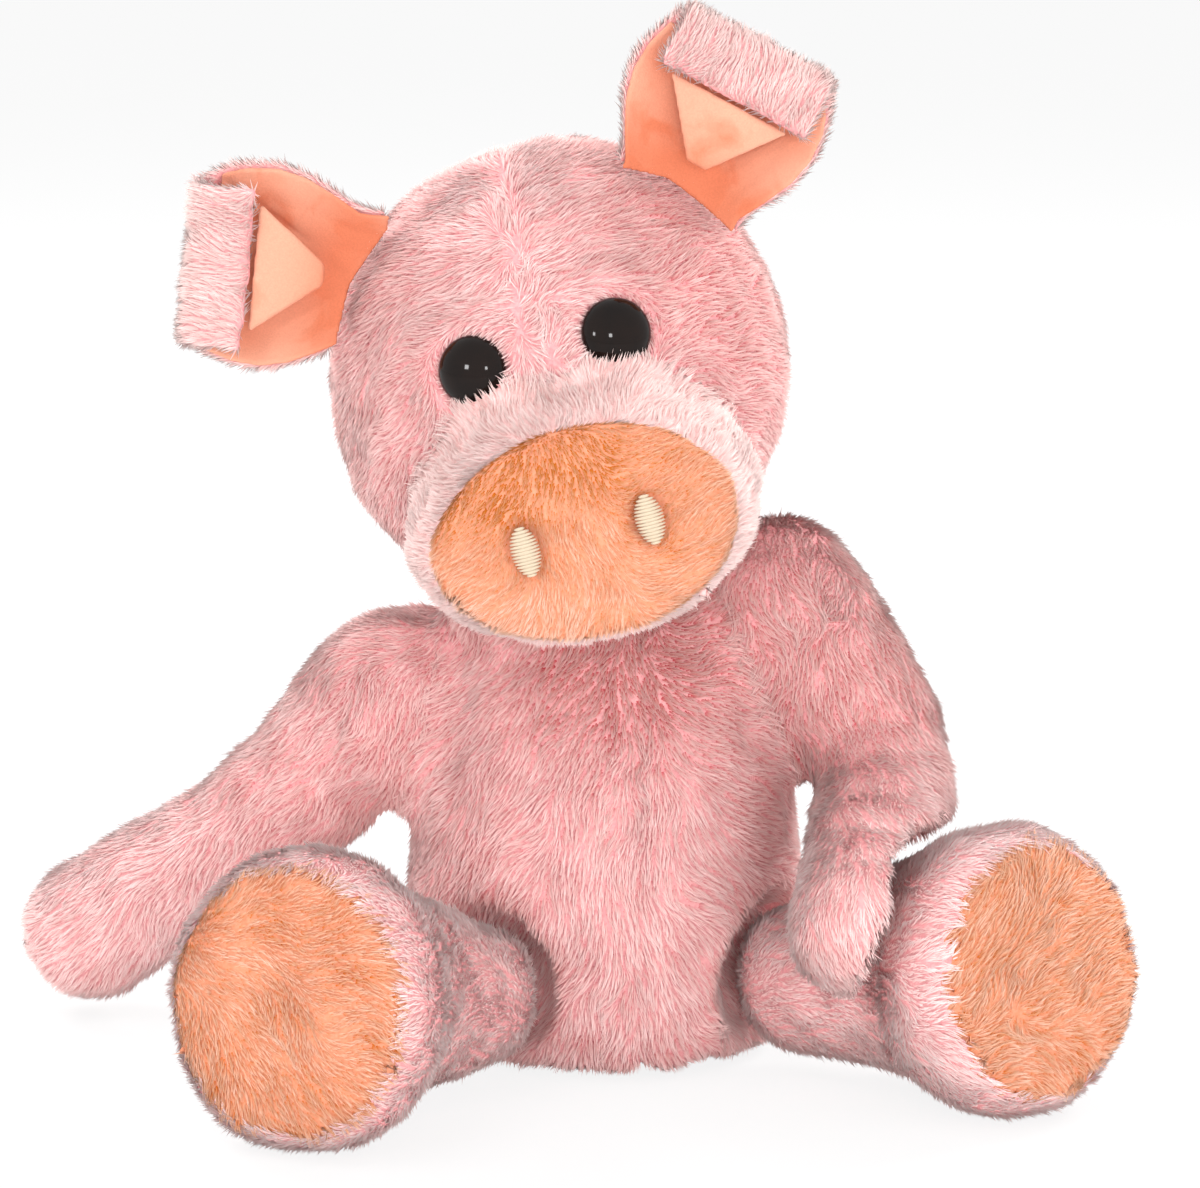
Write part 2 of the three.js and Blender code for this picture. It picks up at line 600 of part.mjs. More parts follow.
function ear(name, side, pose) {
  const group = new THREE.Group();
  const rootTurn = THREE.MathUtils.degToRad(pose.root);
  const outward = Math.sqrt((HEAD_RADIUS + SWING_GAP) ** 2 - EAR_FORWARD ** 2);
  const root = new THREE.Vector3(side * Math.cos(rootTurn), 0, Math.sin(rootTurn)).multiplyScalar(outward);
  root.y = -EAR_FORWARD;
  const lean = THREE.MathUtils.degToRad(pose.rise);
  const along = new THREE.Vector3(side * Math.cos(lean), 0, Math.sin(lean));
  const front = new THREE.Vector3(0, -1, 0);
  const across = new THREE.Vector3().crossVectors(front, along);
  const basis = new THREE.Matrix4().makeBasis(along, across, front);
  group.position.copy(root);
  group.quaternion.setFromRotationMatrix(basis);
  head.add(group);

  // The head as the ear sees it, at rest and at both ends of its swing
  const centre = new THREE.Vector3().sub(root).applyQuaternion(group.quaternion.clone().invert());
  const cuts = [-EAR_SWING_DEGREES, 0, EAR_SWING_DEGREES].map((degrees) => {
    const swing = THREE.MathUtils.degToRad(degrees);
    const turned = centre.clone().applyAxisAngle(new THREE.Vector3(0, 1, 0), swing);
    return ball(HEAD_RADIUS + SWING_GAP, turned, NECK_MESH);
  });
  const trimmed = (body) => cuts.reduce((rest, cut) => rest.subtract(cut), body);

  const straight = EAR_LENGTH - EAR_FOLD_RADIUS;
  const middle = EAR_FOLD_RADIUS;
  const hook = new THREE.CurvePath();
  hook.add(line(-OVERRUN, 0, straight, 0));
  hook.add(new THREE.EllipseCurve(straight, middle, middle, middle, -RIGHT_ANGLE, RIGHT_ANGLE, false));
  hook.add(line(straight, 2 * middle, straight - EAR_BAND, 2 * middle));
  const hookLength = hook.getLength();
  const outerWidth = (share) => earHalfWidth(Math.max(share * hookLength - OVERRUN, 0));
  const outer = sheet(hook, outerWidth, EAR_CUP, WALL, HOOK_MESH);
  piece(group, `ear_outer_${name}`, trimmed(outer), PINK);

  const liningFront = WALL / 2 + GAP + LINING_WALL / 2;
  const liningEnd = straight;
  const panel = line(-OVERRUN, liningFront, liningEnd, liningFront);
  const liningStation = (share) => Math.max(share * (liningEnd + OVERRUN) - OVERRUN, 0);
  const liningWidth = (share) => earHalfWidth(liningStation(share)) - WALL / 2;
  const lining = sheet(panel, liningWidth, EAR_CUP, LINING_WALL, PANEL_MESH);
  piece(group, `ear_lining_${name}`, trimmed(lining), LINING);

  // The tip hangs from the end of the folded band and points back at the head
  const bandEnd = straight - EAR_BAND - GAP;
  const tipCurve = line(bandEnd, 2 * middle, bandEnd - EAR_TIP_LENGTH, 2 * middle);
  const tipWidth = (share) => THREE.MathUtils.lerp(EAR_TIP_HALF_WIDTH, EAR_TIP_POINT, share);
  const tip = sheet(tipCurve, tipWidth, 0, LINING_WALL, TIP_MESH);
  piece(group, `ear_tip_${name}`, tip, LINING);
}

// Limbs: each is placed from the centre of its root's ball
function limbGroup(centre) {
  const group = new THREE.Group();
  group.position.copy(centre);
  pig.add(group);
  return group;
}

function limbSpine({ upper, upperDrop, fore, foreDrop }, first, second) {
  const elbow = heading(upper, upperDrop, first);
  const end = elbow.clone().add(heading(fore, foreDrop, second));
  return curved([new THREE.Vector3(), elbow, end]);
}

// Where an arm is thinnest, as a share of its length
const ARM_THIN_SHARE = 0.5;

function armForm(spine, inset, sides) {
  const length = spine.reach;
  const tip = HAND_RADIUS - inset;
  const root = ARM_ROOT_RADIUS - inset;
  const thin = [ARM_RADIUS - inset, length * ARM_THIN_SHARE];
  const side = smooth([[tip, length], thin, [root, 0]]);
  const profile = outline([tipArc(tip, length), ARC_STEPS], [side, LIMB_STEPS], [rootArc(root), ARC_STEPS]);
  return form(profile, spine, sides);
}

// The hole at a limb's sewn end looks into the torso
function mouthAtRoot(socket, radius) {
  return bar(LIMB_MOUTH, heading(socket, 0, OVERRUN - radius), heading(socket, 0, -OVERRUN - radius));
}

function arm(name, centre, pose, carve) {
  const spine = limbSpine(pose, UPPER_ARM, FOREARM);
  const group = limbGroup(centre);
  const floor = below(GAP - centre.z);
  const inside = carve(armForm(spine, WALL, LIMB_SIDES), WALL);
  const cover = carve(armForm(spine, 0, LIMB_SIDES), 0).subtract(inside);
  const opened = cover.subtract(mouthAtRoot(pose.socket, ARM_ROOT_RADIUS)).subtract(floor);
  piece(group, `arm_cover_${name}`, opened, PINK);
  const fill = carve(armForm(spine, WALL + ARM_FILL_GAP, LIMB_SIDES), WALL + ARM_FILL_GAP);
  piece(group, `arm_stuffing_${name}`, fill, FIBRE);
}

// Where a leg starts to widen, as a share of the way to the foot
const LEG_THIN_SHARE = 0.5;
const FOOT_RIM_SHARE = 0.95;
const FOOT_BULGE_SHARE = 0.4;

function legForm(spine, inset, end, sides) {
  const length = spine.reach;
  const rim = FOOT_RADIUS * FOOT_RIM_SHARE - inset;
  const root = LEG_ROOT_RADIUS - inset;
  const heel = length - FOOT_LENGTH;
  const side = smooth([
    [rim, end],
    [FOOT_RADIUS - inset, length - FOOT_LENGTH * FOOT_BULGE_SHARE],
    [(FOOT_RADIUS + LEG_RADIUS) / 2 + WALL - inset, heel],
    [LEG_RADIUS - inset, heel * LEG_THIN_SHARE],
    [root, 0],
  ]);
  const profile = outline([line(0, end, rim, end), 1], [side, LIMB_STEPS], [rootArc(root), ARC_STEPS]);
  return form(profile, spine, sides, footTall(length));
}

// A leg is round at its root and grows taller than it is wide towards the foot
function footTall(length) {
  return (station) => THREE.MathUtils.lerp(1, FOOT_TALLER, THREE.MathUtils.clamp(station / length, 0, 1));
}

function leg(name, centre, pose, inward) {
  const spine = limbSpine(pose, THIGH, SHIN);
  const length = spine.reach;
  const group = limbGroup(centre);
  const floor = below(-centre.z);
  const carved = (inset, end, sides) => {
    const body = legForm(spine, inset, end, sides).subtract(below(inset - centre.z));
    return clearOf(body, torsoBeside(centre, LEG_ROOT_RADIUS, inset), inward, HIP_ENDS_DEGREES);
  };
  const cover = carved(0, length, LIMB_SIDES).subtract(carved(WALL, length + GAP, LIMB_SIDES));
  piece(group, `leg_cover_${name}`, cover, PINK);
  piece(group, `leg_stuffing_${name}`, carved(WALL + FILL_GAP, length - GAP, SMALL_SIDES), FIBRE);

  const rim = FOOT_RADIUS * FOOT_RIM_SHARE;
  const back = length + GAP;
  const edge = back + SOLE_EDGE;
  const dome = new THREE.EllipseCurve(0, edge, rim, SOLE_CROWN, RIGHT_ANGLE, 0, true);
  const profile = outline([dome, ARC_STEPS], [line(rim, edge, rim, back), 1], [line(rim, back, 0, back), 1]);
  const sole = form(profile, spine, LIMB_SIDES, footTall(length));
  piece(group, `sole_${name}`, sole.subtract(floor), PEACH);
}

function tail() {
  const group = limbGroup(TAIL_ROOT);
  const middle = heading(TAIL_HEADING_DEGREES, -TAIL_RISE_DEGREES, TAIL_LENGTH / 2);
  const tip = heading(TAIL_HEADING_DEGREES, -2 * TAIL_RISE_DEGREES, TAIL_LENGTH);
  const spine = curved([new THREE.Vector3(), middle, tip.add(new THREE.Vector3(TAIL_CURL, 0, 0))]);
  const length = spine.reach;
  const side = line(TAIL_TIP_RADIUS, length, TAIL_ROOT_RADIUS, 0);
  const profile = outline(
    [tipArc(TAIL_TIP_RADIUS, length), ARC_STEPS],
    [side, ARC_STEPS],
    [rootArc(TAIL_ROOT_RADIUS), ARC_STEPS],
  );
  piece(group, "tail", form(profile, spine, SMALL_SIDES), PINK);
}

torso();
closingThread();
tail();
neckSeam();
headPieces();
snout();
eye("right", -EYE_X);
eye("left", EYE_X);
ear("right", -1, RIGHT_EAR_DEGREES);
ear("left", 1, LEFT_EAR_DEGREES);

// A limb without what a neighbour takes up, over the degrees that the limb swings about its own
// root. The neighbour is given as it lies from that root.
function clearOf(body, neighbour, axis, swings) {
  return swings.reduce((rest, swing) => {
    const turn = new THREE.Matrix4().makeRotationAxis(axis, THREE.MathUtils.degToRad(-swing));
    return rest.subtract(neighbour.transform(turn.elements));
  }, body);
}

// The torso's side, grown by a clearance, as a limb's root sees it: the limb is cut back from it.
// Only the limb's ball is kept, well inside the hollow's faces, so that it turns there.
const KEPT_GAP_SHARE = 1 / 4;

function torsoBeside(root, radius, inset) {
  const grown = torsoForm(-LIMB_CLEARANCE - inset, BODY_SIDES);
  const kept = ball(radius + SWING_GAP * KEPT_GAP_SHARE - inset, root, NECK_MESH);
  return grown.subtract(kept).translate(root.clone().negate().toArray());
}

// The legs swing inwards and outwards about upright axes
const HIP_ENDS_DEGREES = [-HIP_SWING_IN_DEGREES, HIP_SWING_OUT_DEGREES];
leg("right", RIGHT_HIP, RIGHT_LEG_DEGREES, UP.clone().negate());
leg("left", LEFT_HIP, LEFT_LEG_DEGREES, UP);

arm("right", RIGHT_SHOULDER, RIGHT_ARM_DEGREES, (body, inset) => {
  return body.subtract(torsoBeside(RIGHT_SHOULDER, ARM_ROOT_RADIUS, inset));
});

// The left hand rests against the thigh, so the thigh is taken out of it too, all over its swing
const thighSpine = limbSpine(LEFT_LEG_DEGREES, THIGH, SHIN);
const thighFromShoulder = LEFT_HIP.clone().sub(LEFT_SHOULDER);
const raiseAxis = heading(180 + ARM_RAISE_TURN_DEGREES, 0, 1);
const raises = [0, ARM_RAISE_DEGREES / 2, ARM_RAISE_DEGREES];
arm("left", LEFT_SHOULDER, LEFT_ARM_DEGREES, (body, inset) => {
  const thigh = legForm(thighSpine, -LIMB_CLEARANCE - inset, thighSpine.reach, LIMB_SIDES);
  const cut = HIP_ENDS_DEGREES.reduce(
    (rest, swing) => rest.subtract(thigh.rotate([0, 0, swing]).translate(thighFromShoulder.toArray())),
    body,
  );
  return clearOf(cut, torsoBeside(LEFT_SHOULDER, ARM_ROOT_RADIUS, inset), raiseAxis, raises);
});

export default pig;
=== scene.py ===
"""A plush pig that sits with its legs splayed and its head tipped to one side.

Its cloth has a backing and a pile. Each backing is the outer surface of its construction piece,
evened out and set back to leave room for the pile. Each pile is thousands of small combed tufts.
"""
import json
import math
from collections import namedtuple
from functools import cache

import bmesh
import bpy
import numpy as np
from bpy.props import FloatProperty, FloatVectorProperty, IntProperty, PointerProperty
from mathutils import Matrix, Vector
from mathutils.bvhtree import BVHTree
from mathutils.kdtree import KDTree


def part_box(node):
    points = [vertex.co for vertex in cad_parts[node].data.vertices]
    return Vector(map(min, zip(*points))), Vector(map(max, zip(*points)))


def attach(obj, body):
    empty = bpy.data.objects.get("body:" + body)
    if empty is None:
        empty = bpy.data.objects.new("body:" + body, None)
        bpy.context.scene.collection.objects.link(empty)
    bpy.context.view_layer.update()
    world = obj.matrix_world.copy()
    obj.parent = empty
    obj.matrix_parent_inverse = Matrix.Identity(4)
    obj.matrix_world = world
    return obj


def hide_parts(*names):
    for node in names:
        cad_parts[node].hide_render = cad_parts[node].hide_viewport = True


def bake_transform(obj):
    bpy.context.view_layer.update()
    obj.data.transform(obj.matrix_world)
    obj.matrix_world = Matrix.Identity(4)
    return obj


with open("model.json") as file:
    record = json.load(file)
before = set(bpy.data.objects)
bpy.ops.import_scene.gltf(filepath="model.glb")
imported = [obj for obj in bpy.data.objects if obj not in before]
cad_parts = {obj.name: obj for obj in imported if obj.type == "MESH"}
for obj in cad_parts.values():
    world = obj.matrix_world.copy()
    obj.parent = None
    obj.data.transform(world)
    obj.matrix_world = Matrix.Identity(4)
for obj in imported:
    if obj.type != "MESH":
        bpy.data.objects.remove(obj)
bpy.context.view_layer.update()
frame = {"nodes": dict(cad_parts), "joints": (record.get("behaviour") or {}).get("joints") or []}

bl_info = {
    "name": "Plush Pig",
    "version": (1, 0, 0),
    "blender": (4, 5, 0),
    "location": "View3D > Sidebar > Plush Pig",
    "description": "Builds a seated plush pig with a combed pile, lined ears and stitched nostrils",
    "category": "Add Mesh",
}

MM = 0.001
RIGHT, LEFT = "right", "left"
JOINTS = {joint["name"]: joint for joint in frame["joints"]}


def place(joint):
    """Where a joint of the toy lies, in millimetres."""
    return np.array(JOINTS[joint]["pos_m"]) / MM


# The head is rolled to the pig's right, so it has its own sideways and upward directions
HEAD = place("head_nod")
HEAD_SIDE = np.array(JOINTS["head_nod"]["axis"], float)
HEAD_UP = np.cross(HEAD_SIDE, (0.0, 1.0, 0.0))


def corners_of(node):
    """The low and high corners of a construction piece's box, in millimetres."""
    return [np.array(corner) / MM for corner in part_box(node)]


def middle(node):
    """The middle of a construction piece's box, in millimetres."""
    low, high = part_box(node)
    return np.array((low + high) / 2) / MM


def linear(colour):
    """A hex colour as it is written for screens, turned into linear red, green and blue."""
    channels = [int(colour[i:i + 2], 16) / 255 for i in (1, 3, 5)]
    return tuple(c / 12.92 if c <= 0.04045 else ((c + 0.055) / 1.055) ** 2.4 for c in channels)


def colour_property(name, text, colour):
    return FloatVectorProperty(
        name=name, description=text, default=linear(colour), subtype="COLOR", min=0, max=1)


def length_property(name, text, millimetres):
    return FloatProperty(
        name=name, description=text, default=millimetres * MM, subtype="DISTANCE", unit="LENGTH", min=0)


class PigCloth(bpy.types.PropertyGroup):
    """Sizes of the plush and of the smooth lining."""
    pile: length_property("Pile", "Length of a tuft of the pink plush", 3.0)
    depth: length_property("Depth", "How far the backing lies inside the toy's outline", 1.9)
    tuft: length_property("Tuft", "Width of a tuft at its root", 0.44)
    strand: length_property("Strand", "Half the width of a strand of tufts", 0.55)
    lump: length_property("Lump", "Height of the stuffing's lumps", 0.9)
    shoulder: length_property("Shoulder", "Radius of the padding that an arm grows out of", 19.6)
    density: FloatProperty(
        name="Density", description="Tufts on a square millimetre", default=3.8, min=0.05, max=6)
    seed: IntProperty(name="Seed", description="Start of the random placing", default=7, min=0)


class PigColours(bpy.types.PropertyGroup):
    """Colours of the toy's materials."""
    # Painted shade: each root colour darkens the pile deep between its tufts, where shade falls.
    pink_root_shade: colour_property("Pink root", "Pink plush between its tufts", "#E2878E")
    pink: colour_property("Pink", "Pink plush", "#F4BFBC")
    pink_tip: colour_property("Pink tip", "Pink plush at the ends of its tufts", "#FBDFDB")
    pale: colour_property("Pale pink", "Plush of the muzzle's band", "#F6D0CC")
    pale_tip: colour_property("Pale pink tip", "The band's plush at the ends of its tufts", "#FCE8E3")
    # Painted shade: the peach root colour darkens the pile deep between its tufts.
    peach_root_shade: colour_property("Peach root", "Peach plush between its tufts", "#D97C55")
    peach: colour_property("Peach", "Peach plush", "#E8A78A")
    peach_tip: colour_property("Peach tip", "Peach plush at the ends of its tufts", "#F1C9B1")
    lining: colour_property("Lining", "Smooth lining of the ears", "#E3A48A")
    # The deep lining colour serves the velvet's darker patches and its painted shade.
    lining_deep: colour_property("Lining, deep", "The lining in its folds", "#D37858")
    eye: colour_property("Eye", "Plastic of the eyes", "#0B0706")
    thread: colour_property("Nostril thread", "Embroidery of the nostrils", "#CDBBA2")


def cloth():
    return bpy.context.scene.pig_cloth


def depth_mm():
    return cloth().depth / MM


def colours():
    return bpy.context.scene.pig_colours


# Materials

def add_node(tree, kind, inputs=None, **settings):
    """Adds a node. Inputs are socket names or numbers with a value or the output that feeds them."""
    made = tree.nodes.new(kind)
    for key, value in settings.items():
        setattr(made, key, value)
    for socket, value in (inputs or {}).items():
        if isinstance(value, bpy.types.NodeSocket):
            tree.links.new(value, made.inputs[socket])
        else:
            made.inputs[socket].default_value = value
    return made


def rgba(colour):
    return (*colour, 1.0)


def start_material(name):
    """A bare material with its output, and the toy's own coordinates."""
    material = bpy.data.materials.new(name)
    material.use_nodes = True
    tree = material.node_tree
    tree.nodes.clear()
    return material, tree, add_node(tree, "ShaderNodeTexCoord").outputs["Object"]


def end_material(tree, surface):
    add_node(tree, "ShaderNodeOutputMaterial", {"Surface": surface.outputs[0]})


def per_metre(millimetres):
    """A texture scale that gives features of about this size."""
    return 1 / (millimetres * MM)


# A tuft's tone holds its random tone together with painted shade and painted light.
TONES = (-0.5, 1.5)  # least and greatest tone of a tuft, from deep to pale


def pile_material(name, root, middle_colour, tip):
    """Cut polyester pile: matt, darker at the root as painted shade, paler at the end partly as a painted
    highlight, with a slight sheen.
    """
    material, tree, at = start_material(name)
    along = add_node(tree, "ShaderNodeAttribute", attribute_name="tip").outputs["Fac"]
    tone = add_node(tree, "ShaderNodeAttribute", attribute_name="tone").outputs["Fac"]
    ramp = add_node(tree, "ShaderNodeValToRGB", {"Fac": along})
    stops = ramp.color_ramp.elements
    stops[0].position, stops[0].color = 0.0, rgba(root)
    stops[1].position, stops[1].color = 1.0, rgba(tip)
    between = stops.new(0.42)
    between.color = rgba(middle_colour)
    patches = add_node(tree, "ShaderNodeTexNoise", {"Vector": at, "Scale": per_metre(14), "Detail": 2.0})
    worn = add_node(
        tree, "ShaderNodeMapRange", {"Value": patches.outputs["Fac"], "To Min": 0.9, "To Max": 1.08})
    # A low tone paints shade, darker and more saturated; a high tone paints light, paler.
    shade = add_node(tree, "ShaderNodeMapRange", {
        "Value": tone, "From Min": TONES[0], "From Max": TONES[1], "To Min": 0.65, "To Max": 1.25})
    both = add_node(
        tree, "ShaderNodeMath", {0: worn.outputs[0], 1: shade.outputs[0]}, operation="MULTIPLY")
    depth = add_node(tree, "ShaderNodeMapRange", {
        "Value": tone, "From Min": TONES[0], "From Max": TONES[1], "To Min": 1.5, "To Max": 0.7})
    toned = add_node(tree, "ShaderNodeHueSaturation", {
        "Saturation": depth.outputs[0], "Value": both.outputs[0], "Color": ramp.outputs["Color"]})
    surface = add_node(tree, "ShaderNodeBsdfPrincipled", {
        "Base Color": toned.outputs["Color"],
        "Roughness": 0.7,
        "Specular IOR Level": 0.3,
        "Sheen Weight": 0.3,
        "Sheen Roughness": 0.4,
        "Sheen Tint": rgba(tip),
    })
    end_material(tree, surface)
    return material


def backing_material(name, root, middle_colour):
    """Knitted polyester backing with the roots of the pile in it: matt and deeper in colour, as painted shade
    between the tufts.
    """
    material, tree, at = start_material(name)
    roots = add_node(tree, "ShaderNodeTexNoise", {"Vector": at, "Scale": per_metre(0.9), "Detail": 3.0})
    mixed = add_node(
        tree, "ShaderNodeMix", {0: roots.outputs["Fac"], 6: rgba(root), 7: rgba(middle_colour)},
        data_type="RGBA")
    knit = add_node(tree, "ShaderNodeTexVoronoi", {"Vector": at, "Scale": per_metre(0.8)})
    bump = add_node(
        tree, "ShaderNodeBump", {"Height": knit.outputs["Distance"], "Strength": 0.5, "Distance": 0.3 * MM})
    surface = add_node(tree, "ShaderNodeBsdfPrincipled", {
        "Base Color": mixed.outputs[2], "Roughness": 0.95, "Specular IOR Level": 0.1,
        "Normal": bump.outputs[0],
    })
    end_material(tree, surface)
    return material


def velvet_material(name, light, deep):
    """Short polyester velvet: smooth, with a nap that darkens in patches, painted shade in its folds and a
    soft sheen.
    """
    material, tree, at = start_material(name)
    patches = add_node(
        tree, "ShaderNodeTexNoise", {"Vector": at, "Scale": per_metre(9), "Detail": 3.0, "Distortion": 0.6})
    nap = add_node(tree, "ShaderNodeTexNoise", {"Vector": at, "Scale": per_metre(0.35), "Detail": 2.0})
    low = add_node(tree, "ShaderNodeMapRange", {
        "Value": patches.outputs["Fac"], "From Min": 0.1, "From Max": 0.5})
    # Painted shade, given as an attribute of the piece, pulls the colour to the deep one in folds and
    # hollows.
    folds = add_node(tree, "ShaderNodeAttribute", attribute_name="deep")
    flat = add_node(tree, "ShaderNodeMath", {0: low.outputs[0], 1: folds.outputs["Fac"]},
                    operation="SUBTRACT", use_clamp=True)
    base = add_node(
        tree, "ShaderNodeMix", {0: flat.outputs[0], 6: rgba(deep), 7: rgba(light)}, data_type="RGBA")
    grain = add_node(
        tree, "ShaderNodeMapRange", {"Value": nap.outputs["Fac"], "To Min": 0.86, "To Max": 1.12})
    toned = add_node(
        tree, "ShaderNodeHueSaturation", {"Value": grain.outputs[0], "Color": base.outputs[2]})
    bump = add_node(
        tree, "ShaderNodeBump", {"Height": nap.outputs["Fac"], "Strength": 0.35, "Distance": 0.25 * MM})
    surface = add_node(tree, "ShaderNodeBsdfPrincipled", {
        "Base Color": toned.outputs["Color"], "Roughness": 0.9, "Specular IOR Level": 0.1,
        "Sheen Weight": 0.05, "Sheen Roughness": 0.4, "Normal": bump.outputs[0],
    })
    end_material(tree, surface)
    return material


def eye_material():
    """Moulded acrylic: almost black brown, polished, with the faintest orange peel."""
    material, tree, at = start_material("moulded_acrylic_eye")
    depth = add_node(tree, "ShaderNodeTexNoise", {"Vector": at, "Scale": per_metre(5)})
    base = add_node(tree, "ShaderNodeMix", {
        0: depth.outputs["Fac"], 6: rgba(colours().eye), 7: rgba(linear("#1C110D"))}, data_type="RGBA")
    peel = add_node(tree, "ShaderNodeTexNoise", {"Vector": at, "Scale": per_metre(1.6)})
    bump = add_node(
        tree, "ShaderNodeBump", {"Height": peel.outputs["Fac"], "Strength": 0.02, "Distance": 0.1 * MM})
    surface = add_node(tree, "ShaderNodeBsdfPrincipled", {
        "Base Color": base.outputs[2], "Roughness": 0.06, "IOR": 1.49, "Specular IOR Level": 0.22,
        "Normal": bump.outputs[0],
    })
    end_material(tree, surface)
    return material


def rayon_material(name, colour):
    """Spun rayon thread: pale, with a silky gloss and its fine twist."""
    material, tree, at = start_material(name)
    twist = add_node(tree, "ShaderNodeTexNoise", {"Vector": at, "Scale": per_metre(0.4), "Detail": 2.0})
    shade = add_node(
        tree, "ShaderNodeMapRange", {"Value": twist.outputs["Fac"], "To Min": 0.88, "To Max": 1.08})
    toned = add_node(tree, "ShaderNodeHueSaturation", {"Value": shade.outputs[0], "Color": rgba(colour)})
    bump = add_node(
        tree, "ShaderNodeBump", {"Height": twist.outputs["Fac"], "Strength": 0.3, "Distance": 0.1 * MM})
    surface = add_node(tree, "ShaderNodeBsdfPrincipled", {
        "Base Color": toned.outputs["Color"], "Roughness": 0.42, "Sheen Weight": 0.2,
        "Normal": bump.outputs[0],
    })
    end_material(tree, surface)
    return material


def fibre_material():
    """Polyester fibre filling: white, matt and tangled."""
    material, tree, at = start_material("polyester_fibre_fill")
    strands = add_node(
        tree, "ShaderNodeTexNoise", {"Vector": at, "Scale": per_metre(3), "Detail": 6.0, "Distortion": 2.0})
    shade = add_node(tree, "ShaderNodeMix", {
        0: strands.outputs["Fac"], 6: rgba(linear("#DAD6CE")), 7: rgba(linear("#FBFAF6"))},
        data_type="RGBA")
    bump = add_node(
        tree, "ShaderNodeBump", {"Height": strands.outputs["Fac"], "Strength": 0.8, "Distance": 1.5 * MM})
    surface = add_node(tree, "ShaderNodeBsdfPrincipled", {
        "Base Color": shade.outputs[2], "Roughness": 0.95, "Sheen Weight": 0.3, "Normal": bump.outputs[0],
    })
    end_material(tree, surface)
    return material


def calico_material():
    """Unbleached woven cotton: two crossing sets of threads, about two to a millimetre."""
    material, tree, at = start_material("woven_calico")
    threads = [
        add_node(tree, "ShaderNodeTexWave", {
            "Vector": at, "Scale": per_metre(0.5) / 20, "Distortion": 0.4}, bands_direction=direction)
        for direction in ("X", "Z")
    ]
    weave = add_node(
        tree, "ShaderNodeMath", {0: threads[0].outputs["Fac"], 1: threads[1].outputs["Fac"]},
        operation="MULTIPLY")
    shade = add_node(tree, "ShaderNodeMix", {
        0: weave.outputs[0], 6: rgba(linear("#CFC3AB")), 7: rgba(linear("#EFE6D4"))}, data_type="RGBA")
    bump = add_node(
        tree, "ShaderNodeBump", {"Height": weave.outputs[0], "Strength": 0.5, "Distance": 0.2 * MM})
    surface = add_node(tree, "ShaderNodeBsdfPrincipled", {
        "Base Color": shade.outputs[2], "Roughness": 0.9, "Normal": bump.outputs[0]})
    end_material(tree, surface)
    return material


def nylon_material():
    """Injection moulded nylon: milky white with a low gloss and fine spark marks."""
    material, tree, at = start_material("moulded_nylon")
    sparks = add_node(tree, "ShaderNodeTexNoise", {"Vector": at, "Scale": per_metre(0.3), "Detail": 4.0})
    shade = add_node(tree, "ShaderNodeMix", {
        0: sparks.outputs["Fac"], 6: rgba(linear("#D9D5CC")), 7: rgba(linear("#ECE9E2"))},
        data_type="RGBA")
    bump = add_node(
        tree, "ShaderNodeBump", {"Height": sparks.outputs["Fac"], "Strength": 0.2, "Distance": 0.05 * MM})
    surface = add_node(tree, "ShaderNodeBsdfPrincipled", {
        "Base Color": shade.outputs[2], "Roughness": 0.48, "IOR": 1.53, "Normal": bump.outputs[0]})
    end_material(tree, surface)
    return material


def shared(make, name, *values):
    """A material made once and found by its name after that."""
    return bpy.data.materials.get(name) or make(name, *values)


# Each plush with the names of its colours, from the roots of its pile to the tips
PINK, PALE, PEACH = "pink_plush", "pale_pink_plush", "peach_plush"
PLUSH_COLOURS = {
    PINK: ("pink_root_shade", "pink", "pink_tip"),
    PALE: ("pink", "pale", "pale_tip"),
    PEACH: ("peach_root_shade", "peach", "peach_tip"),
}


def pile_of(plush):
    shades = [getattr(colours(), name) for name in PLUSH_COLOURS[plush]]
    return shared(pile_material, f"{plush}_pile", *shades)


def backing_of(plush):
    root, middle_colour, _ = [getattr(colours(), name) for name in PLUSH_COLOURS[plush]]
    return shared(backing_material, f"{plush}_backing", root, middle_colour)


def velvet():
    return shared(velvet_material, "short_velvet_lining", colours().lining, colours().lining_deep)


# Each cloth piece: its slot, how full it is, the size of its backing's faces, the rounds that even
# them out, and how far inside the piece the backing lies where that isn't the cloth's own depth.
# A depth below zero lies outside the piece.
Piece = namedtuple("Piece", "slot padding face rounds depth", defaults=(None,))
VELVET = "velvet_lining"
PIECES = {
    "torso_cover": Piece(PINK, 0.7, 1.7, 10),
    "head_cover": Piece(PINK, 0.8, 1.7, 10),
    "muzzle_cover": Piece(PALE, 0.8, 1.6, 8),
    "snout_disc": Piece(PEACH, 0.8, 1.2, 6, 1.2),
    "arm_cover": Piece(PINK, 0.7, 1.6, 9),
    "leg_cover": Piece(PINK, 0.7, 1.7, 9),
    "sole": Piece(PEACH, 0.7, 1.2, 8, 1.6),
    "ear_outer": Piece(PINK, 0.3, 0.9, 14, 0.2),
    "ear_lining": Piece(VELVET, 0.2, 0.45, 3, -0.05),
    "ear_tip": Piece(VELVET, 0.2, 0.45, 14, -0.2),
    "tail": Piece(PINK, 0.6, 0.8, 4, 1.4),
}


def piece_of(node):
    """What a construction piece is made of, found by its name without its side."""
    return PIECES[node.removesuffix(f"_{RIGHT}").removesuffix(f"_{LEFT}")]


# Meshes as arrays, in millimetres

def points_of(mesh):
    flat = np.empty(len(mesh.vertices) * 3, np.float32)
    mesh.vertices.foreach_get("co", flat)
    return flat.reshape(-1, 3).astype(float) / MM


def normals_of(mesh):
    flat = np.empty(len(mesh.vertices) * 3, np.float32)
    mesh.vertex_normals.foreach_get("vector", flat)
    return flat.reshape(-1, 3).astype(float)


